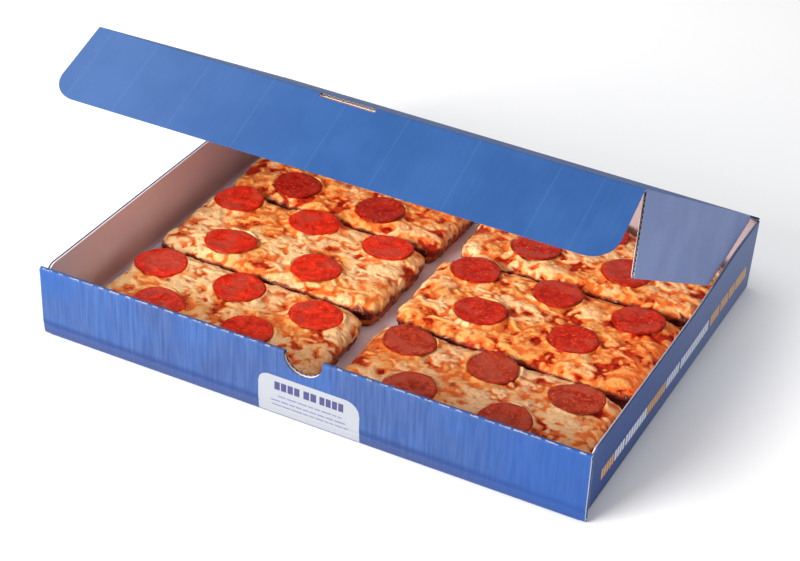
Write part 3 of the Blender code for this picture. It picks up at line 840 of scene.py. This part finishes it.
bm = plate(plate(bmesh.new(), lid_outline(narrow), INNER_LAYER), slot_lip, INNER_LAYER)
fold_round(bm, -SHOULDER_HALF, SHOULDER_HALF, INNER_WRAP)
for side in (-1, 1):
    crushed = [
        (side * narrow, INNER_LAYER[0]), (side * wide, CRUSHED_LOW), (side * wide, CRUSHED_HIGH),
        (side * narrow, INNER_LAYER[1]),
    ]
    ends = [[bm.verts.new((x, y, z)) for x, z in crushed] for y in (-TAPER_END, lid_front)]
    bm.faces.new(ends[0])
    bm.faces.new(ends[1])
    for k in range(4):
        bm.faces.new((ends[0][k], ends[0][k - 1], ends[1][k - 1], ends[1][k]))
finished("lid_inner_paper", sheet_mesh(bm, lid_frame), inner_paper, "lid")
fluted("lid_fluting", lid_outline(narrow)[3:-1], lid_frame, "lid")
fluted("lid_slot_fluting", slot_lip, lid_frame, "lid")

# ---------------------------------------------------------------- front flap
# The tuck-in flap hangs from the lid's front crease, with round corners. It is cut away beside the
# slot, so the raw edge of the lid shows there.
FLAP_ROOT, FLAP_TIP, FLAP_CORNER = 0.1836, 0.1856, 0.017
FLAP_LENGTH, FLAP_LEFT_LENGTH = 0.0575, 0.0605
FLAP_DROP = math.radians(51.0)
SLOT_BITE = 0.0030


def rounded_outline(corners, steps=10):
    """Corners as (x, y, radius), in order; a radius above zero becomes an arc."""
    points = []
    for index, (x, y, radius) in enumerate(corners):
        here = Vector((x, y))
        if radius == 0.0:
            points.append(here)
            continue
        before = (Vector(corners[index - 1][:2]) - here).normalized()
        after = (Vector(corners[(index + 1) % len(corners)][:2]) - here).normalized()
        half = before.angle(after) / 2
        centre = here + (before + after).normalized() * radius / math.sin(half)
        start = here + before * radius / math.tan(half) - centre
        sweep = start.angle_signed(here + after * radius / math.tan(half) - centre)
        for step in range(steps + 1):
            points.append(centre + Matrix.Rotation(-sweep * step / steps, 2) @ start)
    return points


flap_frame = lid_frame @ Matrix.Translation((0.0, -LID_REACH, 0.0)) @ Matrix.Rotation(FLAP_DROP, 4, "X")
flap_outline = rounded_outline(
    (
        (FLAP_ROOT, 0.0, 0.0), (SLOT_RIGHT, 0.0, 0.0), (SLOT_RIGHT, -SLOT_BITE, 0.0),
        (SLOT_LEFT, -SLOT_BITE, 0.0), (SLOT_LEFT, 0.0, 0.0), (-FLAP_ROOT, 0.0, 0.0),
        (-FLAP_TIP, -FLAP_LEFT_LENGTH, FLAP_CORNER), (FLAP_TIP, -FLAP_LENGTH, FLAP_CORNER),
    ),
    16,
)


def drawn_in(share, back):
    """The flap's outline, narrower by a share and with its free edge set back."""
    return [(x * share, y + back if y < -0.03 else y) for x, y in flap_outline]


for name, outline, layer, wrap, paper, stands_for in (
    ("front_flap_outer_paper", flap_outline, OUTER_LAYER, OUTER_WRAP, lid_print, ("front_flap",)),
    ("front_flap_inner_paper", drawn_in(0.994, 0.0022), INNER_LAYER, INNER_WRAP, inner_paper, ()),
):
    bm = plate(bmesh.new(), outline, layer)
    fold_round(bm, -FLAP_ROOT, SLOT_LEFT, wrap)
    fold_round(bm, SLOT_RIGHT, FLAP_ROOT, wrap)
    finished(name, sheet_mesh(bm, flap_frame), paper, "front_flap", stands_for=stands_for)
fluted("front_flap_fluting", drawn_in(0.997, 0.0009), flap_frame, "front_flap")

# ---------------------------------------------------------------- side flaps
# A flap hangs from each side of the lid and folds in behind the side wall when the box shuts. Its
# flutes run along the lid, so its front edge shows their open ends.
SIDE_DEPTH, SIDE_CORNER = {-1: 0.0482, 1: 0.0515}, 0.004
SIDE_FLARE = {-1: math.radians(-3.0), 1: math.radians(3.9)}
REAR_ROOT, REAR_TIP, REAR_DEPTH = 0.0065, 0.092, 0.003
FRONT_ROOT, FRONT_TIP = 0.3175, 0.3010
# Painted sheen: the side flaps' print is much paler and greyer than the lid's.
side_print_painted_sheen = printed_paper("side_print_painted_sheen", "Z", (0.180, 0.238, 0.470), (0.208, 0.272, 0.515), 0.06, specks=0.7)
for side, word in ((-1, "left"), (1, "right")):
    deep, flap = SIDE_DEPTH[side], f"side_flap_{word}"
    side_outline = rounded_outline(
        (
            (REAR_ROOT, 0.0, 0.0), (FRONT_ROOT, 0.0, 0.0), (FRONT_TIP, -deep, SIDE_CORNER),
            (REAR_TIP, -deep, SIDE_CORNER), (REAR_ROOT, -REAR_DEPTH, 0.0),
        )
    )
    along = Vector((0.0, -1.0, 0.0))
    rising = Vector((-side * math.sin(SIDE_FLARE[side]), 0.0, math.cos(SIDE_FLARE[side])))
    axes = Matrix((along, rising, along.cross(rising))).transposed().to_4x4()
    side_frame = lid_frame @ Matrix.Translation((side * (LID_HALF + CREASE_GAP), 0.0, 0.0)) @ axes
    layers = (OUTER_LAYER, INNER_LAYER)[::-side]
    for name, layer, wrap, paper, stands_for in (
        (f"{flap}_outer_paper", layers[0], OUTER_WRAP, side_print_painted_sheen, (flap,)),
        (f"{flap}_inner_paper", layers[1], INNER_WRAP, inner_paper, ()),
    ):
        bm = plate(bmesh.new(), side_outline, layer)
        fold_round(bm, REAR_ROOT, FRONT_ROOT, wrap, -side)
        finished(name, sheet_mesh(bm, side_frame), paper, flap, stands_for=stands_for)
    fluted(f"{flap}_fluting", side_outline, side_frame, flap, quarter_turn=True)

# ---------------------------------------------------------------- slices: topping
# Each thick slice carries tomato sauce under shredded cheese that has melted into pools and soft
# strands. It rounds over every edge, browner and redder towards the foot, where sauce has run and caught;
# its sides that face the front are painted darker still, as shade in the grooves between slices.
SLICES = {  # the middle, the length and depth, a turn in degrees, and how much deeper the right end is
    "left_front": (-0.0925, -0.0985, 0.167, 0.0945, 0.0, 0.0),
    "left_middle": (-0.0930, 0.0000, 0.168, 0.0965, 0.0, 0.01),
    "left_back": (-0.0920, 0.0995, 0.167, 0.0960, -0.3, 0.0),
    "right_front": (0.0905, -0.0978, 0.174, 0.0950, -0.5, -0.01),
    "right_middle": (0.0905, 0.0050, 0.176, 0.1040, 0.7, 0.06),
    "right_back": (0.0905, 0.1065, 0.175, 0.0920, 3.2, 0.0),
}
DISC_PATTERN = ((-0.0625, 0.0290), (-0.0025, 0.0305), (0.0570, 0.0280), (-0.0390, -0.0215), (0.0275, -0.0200))
DISC_SHIFT = {  # how far the discs lie to the right of the pattern, and their back and front rows to the rear
    "left_front": (-0.001, -0.006, 0.000),
    "left_middle": (0.001, 0.003, -0.002),
    "left_back": (0.002, 0.000, -0.004),
    "right_front": (0.001, -0.002, -0.001),
    "right_middle": (0.002, 0.005, 0.007),
    "right_back": (0.001, 0.001, 0.007),
}
DISC_RADIUS, DISC_SEAT = 0.018, 0.0215
PALENESS = {  # how pale the cheese stayed: over all of a slice, and more towards its right end and its back
    "left_front": (0.10, -0.24, 0.10),
    "left_middle": (0.07, 0.04, 0.00),
    "left_back": (-0.26, 0.00, 0.00),
    "right_front": (0.04, 0.00, 0.06),
    "right_middle": (-0.16, -0.26, 0.06),
    "right_back": (-0.04, -0.06, 0.00),
}
RIM_TOP, CROWN_TOP, RIM_ROUND, TOPPING_FOOT = 0.0135, 0.0206, 0.011, 0.0088
CORNER_POWER = 9.0
LATTICE_STEP = 0.00060
SKIRT_ROWS, SKIRT_IN, SKIRT_FLARE = 8, 0.0004, 0.0012
FULL_COVER, SHRED_GRIP = 0.00045, 0.006  # the height that hides the sauce, and how far a shred bends down
# Kinds of shred: how many are tried, the ranges of half the length, half the width, the height and the
# added paleness, how much of one stays under the next, and how soft the edges are.
POOLS = (70, (0.0055, 0.0120), (0.0035, 0.0070), (0.0006, 0.0014), (-0.04, 0.20), 0.8, 1.0)
SHREDS = (170, (0.0035, 0.0090), (0.0015, 0.0030), (0.0005, 0.0012), (-0.06, 0.22), 0.7, 1.0)
PEARLS = (300, (0.0016, 0.0036), (0.0010, 0.0022), (0.0004, 0.0010), (-0.10, 0.18), 0.8, 0.9)


def swell(place, rng, size, waves=16):
    """A smooth random unevenness, about -1 to 1, whose swells are about size across."""
    total = np.zeros(place.shape[:-1])
    for _ in range(waves):
        heading = rng.normal(size=3)
        heading *= 2 * math.pi / (size * 2 * rng.uniform(0.7, 1.5) * np.linalg.norm(heading))
        total += np.sin(place @ heading + rng.uniform(0, 2 * math.pi))
    return total * math.sqrt(2.0 / waves) / 1.6


def disc_centres(piece):
    x, y, _, _, turn, _ = SLICES[piece]
    shift_x, back, front = DISC_SHIFT[piece]
    for number, (across, deep) in enumerate(DISC_PATTERN):
        offset = Vector((across + shift_x, deep + (back if number < 3 else front)))
        offset = Matrix.Rotation(math.radians(turn), 2) @ offset
        yield number, x + offset.x, y + offset.y


def on_slice(piece, u, v, inset):
    """World X and Y of places u, v (from -1 to 1) on a slice whose corners are rounded."""
    x, y, length, depth, turn, widening = SLICES[piece]
    ring = np.maximum(abs(u), abs(v))
    pull = ring / np.maximum((abs(u) ** CORNER_POWER + abs(v) ** CORNER_POWER) ** (1 / CORNER_POWER), 1e-9)
    across = (length / 2 - inset) * u * pull
    deep = (depth / 2 * (1 + widening * u) - inset) * v * pull
    cos, sin = math.cos(math.radians(turn)), math.sin(math.radians(turn))
    return x + cos * across - sin * deep, y + sin * across + cos * deep


def rounding(inward):
    """How high the rounded rim has risen at a distance in from the edge, as a share."""
    return np.sqrt(1 - (1 - np.minimum(inward / RIM_ROUND, 1)) ** 2)


def crowned(piece):
    """Places over the smooth top and edges of a slice, as a lattice, and how far each is down the side."""
    _, _, length, depth, _, _ = SLICES[piece]
    arc = RIM_ROUND * 1.40
    spans = [arc + half - RIM_ROUND for half in (length / 2, depth / 2)]
    counts = [int(span / LATTICE_STEP) for span in spans]

    def inward(share, span):
        """Distance in from the edge, for a share of the way from the middle out along the surface."""
        left = (1 - abs(share)) * span
        rounded = RIM_ROUND * (1 - np.cos(np.minimum(left / arc, 1) * math.pi / 2))
        return np.where(left < arc, rounded, left - arc + RIM_ROUND)

    i, j = (np.arange(-count - SKIRT_ROWS, count + SKIRT_ROWS + 1).astype(float) for count in counts)
    i, j = i[:, None], j[None, :]
    ring = np.maximum(np.maximum(abs(i) - counts[0], abs(j) - counts[1]), 0.0)
    in_x = inward(i / (counts[0] + ring), spans[0])
    in_y = inward(j / (counts[1] + ring), spans[1])
    u = np.sign(i) * (1 - in_x / (length / 2))
    v = np.sign(j) * (1 - in_y / (depth / 2))
    rise = rounding(in_x) * rounding(in_y)
    down = ring / SKIRT_ROWS
    x, y = on_slice(piece, u, v, SKIRT_IN + SKIRT_FLARE * down)
    skirt, crown = RIM_TOP - down * (RIM_TOP - TOPPING_FOOT), RIM_TOP + (CROWN_TOP - RIM_TOP) * rise
    place = np.stack([x, y, np.where(ring > 0, skirt, crown)], axis=-1)
    return place, np.where(ring > 0, 1.0 + down, 1.0 - rise)


def facing(place, round_about=False):
    """Outward directions of a lattice of places."""
    first = (np.roll(place, -1, 0) - np.roll(place, 1, 0)) / 2 if round_about else np.gradient(place, axis=0)
    normal = np.cross(first, np.gradient(place, axis=1))
    return normal / np.maximum(np.linalg.norm(normal, axis=-1, keepdims=True), 1e-12)


def strew(place, normal, state, rng, where, count, half_length, half_width, height, tones, pile, power):
    """Lays melted shreds over a lattice; each raises it and tints it where it lies."""
    relief, cheese, pale = state
    rows, columns = relief.shape
    for _ in range(count):
        i, j = rng.integers(0, rows), rng.integers(0, columns)
        if rng.random() > where[i, j]:
            continue
        long, wide = rng.uniform(*half_length), rng.uniform(*half_width)
        reach = int(1.15 * long / LATTICE_STEP) + 2
        window = (slice(max(i - reach, 0), i + reach + 1), slice(max(j - reach, 0), j + reach + 1))
        up = normal[i, j]
        along = rng.normal(size=3)
        along -= up * (along @ up)
        along /= np.linalg.norm(along)
        offset = place[window] - place[i, j]
        far = offset @ along / long
        curl = rng.uniform(-0.9, 0.9) * (far * far - 0.3) * long / wide * 0.35
        side = (offset @ np.cross(up, along)) / wide + curl
        side *= 1 + 0.25 * np.sin(far * rng.uniform(2, 5) + rng.uniform(0, 6))
        bump = np.clip(1 - abs(far) ** 2.6 - abs(side) ** 2.2 - (offset @ up / SHRED_GRIP) ** 2, 0, 1) ** power
        bump *= rng.uniform(*height)
        old = relief[window]
        relief[window] = np.where(bump > 0, np.maximum(old, pile * old + bump), old)
        share = np.clip(bump / FULL_COVER, 0, 1)
        cheese[window] = np.maximum(cheese[window], share)
        pale[window] += rng.uniform(*tones) * share


def softened(values, passes):
    for _ in range(passes):
        around = values[:-2, 1:-1] + values[2:, 1:-1] + values[1:-1, :-2] + values[1:-1, 2:]
        inner = values.copy()
        inner[1:-1, 1:-1] = (4 * values[1:-1, 1:-1] + around) / 8
        values = inner
    return values


def quads_of(index):
    """The four-cornered faces between a lattice's numbered places."""
    return np.stack([index[:-1, :-1], index[1:, :-1], index[1:, 1:], index[:-1, 1:]], axis=-1).reshape(-1, 4)


def filled(name, points, faces, masks):
    """A mesh with masks on its points, which its material reads."""
    mesh = bpy.data.meshes.new(name)
    mesh.from_pydata(points, [], faces)
    for label, values in masks.items():
        values = np.asarray(values, dtype=np.float32).ravel()
        mesh.attributes.new(label, "FLOAT", "POINT").data.foreach_set("value", values)
    return mesh


def lattice_mesh(name, place, masks, round_about=False):
    """A closed mesh from a lattice of places, its open ends capped flat."""
    rows, columns = place.shape[:2]
    index = np.arange(rows * columns).reshape(rows, columns)
    if round_about:
        faces = quads_of(np.vstack([index, index[:1]])).tolist()
        faces += [index[:, 0][::-1].tolist(), index[:, -1].tolist()]
    else:
        loop = np.concatenate([index[:-1, 0], index[-1, :-1], index[1:, -1][::-1], index[0, 1:][::-1]])
        faces = quads_of(index).tolist() + [loop[::-1].tolist()]
    return filled(name, place.reshape(-1, 3).tolist(), faces, masks)


def mask(shader, label):
    return add(shader.id_data, "ShaderNodeAttribute", attribute_name=label).outputs["Fac"]


# Oven colours, used on cheese, crust and meat: blotches about the size of a shred, and finer grain.
oven_mottle, given, put = new_group(
    "oven_mottle", {"Place": "Vector"}, {"Blotch": "Float", "Grain": "Float", "Fleck": "Float"}
)
cell = add(oven_mottle, "ShaderNodeTexVoronoi", {"Vector": given["Place"], "Scale": 420.0}).outputs["Distance"]
feed(
    put, Blotch=noise(given["Place"], 190.0, 3.0, Distortion=0.6), Grain=noise(given["Place"], 900.0, 3.0),
    Fleck=less(1.0, stepped(cell, 0.10, 0.30)),
)


def scorch_and_shade_at(shader, oven):
    """How dark a place is: how far the oven has caught it, and on the cheese also painted shade on the sides
    that face the front.
    """
    return scaled(oven["Blotch"], 0.9, less(mask(shader, "scorch_and_shade"), 0.45))


def oily(shader, oven, base, relief, depth):
    """A wet sheen in patches, over a surface that is uneven at the size of a crumb."""
    feed(
        shader.inputs, Roughness=scaled(oven["Blotch"], *base),
        Coat_Weight=times(stepped(oven["Blotch"], 0.52, 0.66), 0.45),
    )
    bumped(shader, relief, depth, 0.7)


melted_cheese, shader, place = surface(
    "melted_cheese", 0.40, Subsurface_Weight=0.10, Subsurface_Scale=0.003, Subsurface_Radius=(1.0, 0.4, 0.15),
    Specular_IOR_Level=0.12, Coat_Roughness=0.11,
)
parts = split(place)
oven = placed(oven_mottle, Place=place)
sauce = mixed(stepped(oven["Blotch"], 0.38, 0.62), (0.23, 0.004, 0.001), (0.50, 0.030, 0.004))
oil = mixed(oven["Grain"], (0.63, 0.088, 0.012), (0.79, 0.215, 0.036))
gold = mixed(oven["Grain"], (0.76, 0.290, 0.066), (0.88, 0.480, 0.142))
cream = mixed(oven["Grain"], (0.78, 0.470, 0.190), (0.91, 0.680, 0.370))
tone = scaled(oven["Blotch"], 1.1, less(mask(shader, "pale"), 0.55))
dip = scaled(tone, 0.4, mask(shader, "raised"))
crumb = noise(place, 420.0, 4.0, Roughness=0.65)
cover = scaled(crumb, 1.2, less(mask(shader, "cheese"), 0.54))
# Low places between the lumps go to orange oil: partly oil pooled there, partly painted shade in the hollows.
skin = mixed(stepped(dip, 0.34, 0.72), oil, mixed(stepped(tone, 0.20, 0.74), gold, cream))
skin = washed(skin, (stepped(crumb, 0.38, 0.30), (0.46, 0.055, 0.008)), (stepped(cover, 1.00, 0.40), oil))
scorch_and_shade_level = scorch_and_shade_at(shader, oven)
colour = washed(
    mixed(stepped(cover, 0.16, 0.42), sauce, skin),
    (times(stepped(scorch_and_shade_level, 0.22, 0.60), 0.90), (0.26, 0.014, 0.002)),
    (stepped(scorch_and_shade_level, 0.62, 0.92), (0.070, 0.005, 0.001)),
)
# Painted shade: the front right slice is darker all over.
painted_shade_right_front = times(stepped(parts["X"], -0.005, 0.005), stepped(parts["Y"], -0.048, -0.053))
colour = mixed(painted_shade_right_front, colour, mixed(1.0, colour, (0.84, 0.80, 0.84), "MULTIPLY"))
feed(shader.inputs, Base_Color=colour)
oily(shader, oven, (0.35, 0.20), scaled(oven["Blotch"], 1.0, crumb), 0.0010)

for number, piece in enumerate(SLICES):
    rng = np.random.default_rng(40 + number)
    place, edge = crowned(piece)
    normal = facing(place)
    spread = 0.55 * swell(place, rng, 0.011) + 0.45 * swell(place, rng, 0.005)
    melt = np.clip(0.64 + 0.80 * spread - 0.45 * np.clip(edge - 0.9, 0, 1), 0, 1)
    relief = 0.0005 * swell(place, rng, 0.014) + 0.0011 * melt + 0.00012 * swell(place, rng, 0.003)
    pale = 0.38 + 0.34 * swell(place, rng, 0.024) + 0.16 * swell(place, rng, 0.009)
    x, y, length, depth, _, _ = SLICES[piece]
    overall, rightward, backward = PALENESS[piece]
    paler = overall + rightward * (place[..., 0] - x) * 2 / length + backward * (place[..., 1] - y) * 2 / depth
    state = (relief, melt ** 1.5, pale + paler)
    where = np.clip(1.10 - 0.65 * np.clip(edge - 0.7, 0, 1) + 0.35 * swell(place, rng, 0.018), 0, 1)
    for kind in (POOLS, SHREDS, PEARLS):
        strew(place, normal, state, rng, where, *kind)
    relief += 0.00015 * swell(place, rng, 0.0026, 24)
    relief, cheese, pale = (softened(values, 3) for values in state)
    raised = np.clip(0.52 + (relief - softened(relief, 70)) / 0.0010, 0, 1)
    # painted shade: sides that face the front, into the grooves between slices, are darker
    ahead = np.clip(-normal[..., 1] - 0.4 * abs(normal[..., 0]), 0, 1)
    scorch_and_shade = np.clip(edge - 0.46 + 0.32 * ahead, 0, 0.6) * (1.05 + 0.70 * ahead)
    scorch_and_shade = scorch_and_shade + 0.20 * np.clip(edge - 1.2, 0, 1)
    scorch_and_shade += 0.20 * swell(place, rng, 0.008) + 0.16 * swell(place, rng, 0.0035)
    under = np.full(edge.shape, 9.0)  # distance from the nearest disc's centre, in disc radii
    for _, x, y in disc_centres(piece):
        under = np.minimum(under, np.hypot(place[..., 0] - x, place[..., 1] - y) / DISC_RADIUS)
    near = np.exp(-(((under - 1.03) / 0.10) ** 2))
    lap = np.clip(0.70 + 0.80 * swell(place, rng, 0.010), 0, 1.5) * near
    pale -= 0.22 * np.clip(1.3 - lap, 0, 1) * near
    place = place + normal * relief[..., None]
    place[..., 2] += np.where(under > 0.90, 0.0014 * lap, 0.0) * (edge < 0.9)
    seat = DISC_SEAT - 0.0002 + 0.021 * np.clip(under - 0.93, 0, None)
    place[..., 2] = np.where(edge < 0.9, np.minimum(place[..., 2], seat), place[..., 2])
    masks = {"cheese": cheese + 0.7 * paler, "pale": pale, "raised": raised, "scorch_and_shade": scorch_and_shade}
    mesh = lattice_mesh(f"cheese_{piece}", place, masks)
    finished(f"cheese_{piece}", mesh, melted_cheese, "tray", True, (f"topping_{piece}",))

# ---------------------------------------------------------------- slices: baked base
# The base is a thick soft dough baked in an oiled pan. Its side is stained by sauce and cheese that
# ran down it, and has caught dark along the foot.
BASE_FOOT, BASE_TOP = 0.0023, 0.0102
BASE_ROWS, BASE_STEP = 13, 0.0009
BASE_INSET, FOOT_INSET = 0.0020, 0.0020
DRIPS = (260, (0.002, 0.006), (0.0012, 0.0026), (0.0004, 0.0011), (0.0, 0.6), 0.45, 0.6)

baked_crust, shader, place = surface("baked_crust", 0.5, Coat_Roughness=0.2, Specular_IOR_Level=0.22)
oven = placed(oven_mottle, Place=place)
scorch_and_shade_level = scorch_and_shade_at(shader, oven)
colour = washed(
    mixed(stepped(oven["Blotch"], 0.30, 0.70), (0.26, 0.020, 0.004), (0.54, 0.090, 0.014)),
    (times(oven["Grain"], 0.5), (0.42, 0.040, 0.008)),
    (times(stepped(mask(shader, "cheese"), 0.2, 0.7), 0.7), (0.70, 0.160, 0.026)),
    (stepped(scorch_and_shade_level, 0.20, 0.60), (0.17, 0.020, 0.006)),
    (stepped(scorch_and_shade_level, 0.75, 1.00), (0.045, 0.016, 0.008)),
)
feed(shader.inputs, Base_Color=colour, Roughness=scaled(oven["Grain"], 0.35, 0.30))
bumped(shader, scaled(oven["Fleck"], -0.8, oven["Grain"]), 0.0006, 0.8)

for number, piece in enumerate(SLICES):
    rng = np.random.default_rng(70 + number)
    _, _, length, depth, _, _ = SLICES[piece]
    wide, deep = int(length / BASE_STEP), int(depth / BASE_STEP)
    a, b = np.linspace(-1, 1, wide, endpoint=False), np.linspace(-1, 1, deep, endpoint=False)
    u = np.concatenate([a, np.ones(deep), -a, -np.ones(deep)])[:, None]
    v = np.concatenate([-np.ones(wide), b, np.ones(wide), -b])[:, None]
    level = np.linspace(0, 1, BASE_ROWS)[None, :]
    every = np.ones((len(u), BASE_ROWS))
    x, y = on_slice(piece, u * every, v * every, BASE_INSET + FOOT_INSET * (1 - level) ** 3)
    place = np.stack([x, y, BASE_FOOT + (BASE_TOP - BASE_FOOT) * level * every], axis=-1)
    normal = facing(place, True)
    relief = 0.0004 * swell(place, rng, 0.010) + 0.0003 * swell(place, rng, 0.003)
    state = (relief, 0 * every, 0 * every)
    strew(place, normal, state, rng, 0.9 * every, *DRIPS)
    relief, cheese, _ = (softened(values, 1) for values in state)
    # on the base this is only scorching, darker towards the foot
    scorch_and_shade = 0.55 * (1 - level) + 0.25 * swell(place, rng, 0.010)
    place = place + normal * relief[..., None]
    place[..., 2] = np.maximum(place[..., 2], BASE_FOOT)
    mesh = lattice_mesh(f"base_{piece}", place, {"cheese": cheese, "scorch_and_shade": scorch_and_shade}, True)
    finished(f"base_{piece}", mesh, baked_crust, "tray", True, (f"dough_{piece}",))

# ---------------------------------------------------------------- pepperoni
# Thin round slices of cured sausage, cupped a little by the oven. Their surface is finely flecked with fat,
# whose pale flecks also stand as painted glints, darker round the rim, wet with oil, and veiled by a pale
# film that is partly oil and partly painted sheen. The back left and right discs' reds are set darker, as
# painted shade.
DISC_THICK = 0.0019
DISC_SPOKES = 84
TOP_OUT, TOP_RINGS, RIM_OUT = 0.96, 20, (0.985, 1.0, 1.0, 0.985)
RIM_LIFT = (0.66, 0.52, 0.22, 0.07)
BOTTOM_OUT, BOTTOM_RINGS, CENTRE_OUT = 0.94, 8, 0.04
TINTS = {  # the meat's red, green and blue, set darker for the back left and right slices as painted shade, and how much pale film, partly oil and partly painted sheen, lies on it
    "left_back": (0.38, 0.003, 0.001, 0.2),
    "left": (0.70, 0.015, 0.003, 0.5),
    "right": (0.48, 0.009, 0.002, 0.5),
    "right_front": (0.37, 0.024, 0.008, 0.6),
}

pepperoni = {}
for word, (*meat_red, oil_and_sheen) in TINTS.items():
    pepperoni[word], shader, place = surface(
        f"pepperoni_{word}", 0.38, Subsurface_Weight=0.06, Subsurface_Scale=0.002,
        Subsurface_Radius=(1.0, 0.2, 0.1), Specular_IOR_Level=0.16, Coat_Roughness=0.10,
    )
    dark, light, seared = (
        tuple(part * share for part, share in zip(meat_red, shares))
        for shares in ((0.68, 0.55, 0.6), (1.14, 1.8, 1.5), (0.40, 0.4, 0.4))
    )
    oven = placed(oven_mottle, Place=place)
    mince = add(shader.id_data, "ShaderNodeTexVoronoi", {"Vector": place, "Scale": 640.0}).outputs["Color"]
    mince = add(shader.id_data, "ShaderNodeSeparateColor", {0: mince}).outputs[0]
    # a pale film: partly oil, partly painted sheen
    oil_and_sheen_film = stepped(noise(place, 48.0, 1.0, Distortion=0.4), 0.46, 0.56)
    oil_and_sheen_film = times(oil_and_sheen_film, stepped(mask(shader, "rim"), 0.96, 0.78))
    colour = washed(
        mixed(stepped(oven["Blotch"], 0.34, 0.66), dark, light),
        (times(stepped(mince, 0.70, 0.95), 0.45), (0.80, 0.075, 0.010)),
        (times(stepped(mince, 0.30, 0.10), 0.45), dark),
        # pale flecks of fat, which also stand as painted glints
        (times(oven["Fleck"], stepped(oven["Grain"], 0.52, 0.64)), (0.90, 0.360, 0.170)),
        (times(oil_and_sheen_film, oil_and_sheen), (0.40, 0.068, 0.038)),
        (times(stepped(mask(shader, "rim"), 0.90, 0.99), 0.45), seared),
    )
    feed(shader.inputs, Base_Color=colour)
    oily(shader, oven, (0.3, 0.22), scaled(oven["Blotch"], 1.6, oven["Grain"]), 0.0004)

turn = np.linspace(0, 2 * math.pi, DISC_SPOKES, endpoint=False)[:, None]
top_out = np.linspace(CENTRE_OUT, TOP_OUT, TOP_RINGS)
out = np.concatenate([top_out, RIM_OUT, np.linspace(BOTTOM_OUT, CENTRE_OUT, BOTTOM_RINGS)])[None, :]
droop = 1 - 0.30 * np.clip((top_out - 0.78) / 0.2, 0, 1) ** 2
lift = np.concatenate([droop, RIM_LIFT, np.zeros(BOTTOM_RINGS)])[None, :]
for row, piece in enumerate(SLICES):
    for number, x, y in disc_centres(piece):
        rng = np.random.default_rng(100 + 10 * row + number)

        def lobe(count):
            """A wave with so many crests round the disc, turned at random."""
            return np.sin(count * turn + rng.uniform(0, 6))

        lobes = 1 + 0.036 * lobe(2) + 0.024 * lobe(3)
        lobes += 0.014 * lobe(5) + 0.006 * lobe(11)
        reach = DISC_RADIUS * rng.uniform(0.96, 1.02) * lobes * out
        cup = rng.uniform(0.0001, 0.0009) * (1 + 0.8 * lobe(1)) * out ** 3
        cup += 0.0004 * lobe(2) * out ** 2 + 0.0002 * lobe(5) * out ** 4
        flat = np.stack([x + reach * np.cos(turn), y + reach * np.sin(turn), 0 * reach], axis=-1)
        ripple = 0.00018 * swell(flat, rng, 0.004) * (1 - 0.5 * out)
        flat[..., 2] = DISC_SEAT + DISC_THICK * lift + cup + ripple
        rings = flat.shape[1]
        index = np.arange(DISC_SPOKES * rings).reshape(DISC_SPOKES, rings)
        around = np.vstack([index, index[:1]])
        faces = np.roll(quads_of(around), -1, axis=1).tolist()  # the first corner sets how a quad is split
        points = flat.reshape(-1, 3).tolist()
        for first, after, end in ((around[:-1, 0], around[1:, 0], 0), (around[1:, -1], around[:-1, -1], -1)):
            faces += [(len(points), int(a), int(b)) for a, b in zip(first, after)]
            points.append(flat[:, end].mean(0).tolist())
        rims = np.append(np.broadcast_to(out, flat.shape[:2]).ravel(), [0.0, 0.0])
        mesh = filled("disc", points, faces, {"rim": rims})
        made = bmesh.new()
        made.from_mesh(mesh)
        bmesh.ops.recalc_face_normals(made, faces=made.faces)
        made.to_mesh(mesh)
        made.free()
        node = f"pepperoni_{piece}_{number + 1}"
        meat = pepperoni[piece if piece in pepperoni else piece.split("_")[0]]
        finished(f"sausage_{piece}_{number + 1}", mesh, meat, "tray", True, (node,))

lines = {"cad": [list(corner) for corner in cad_box], "visual": [list(corner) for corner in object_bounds()]}
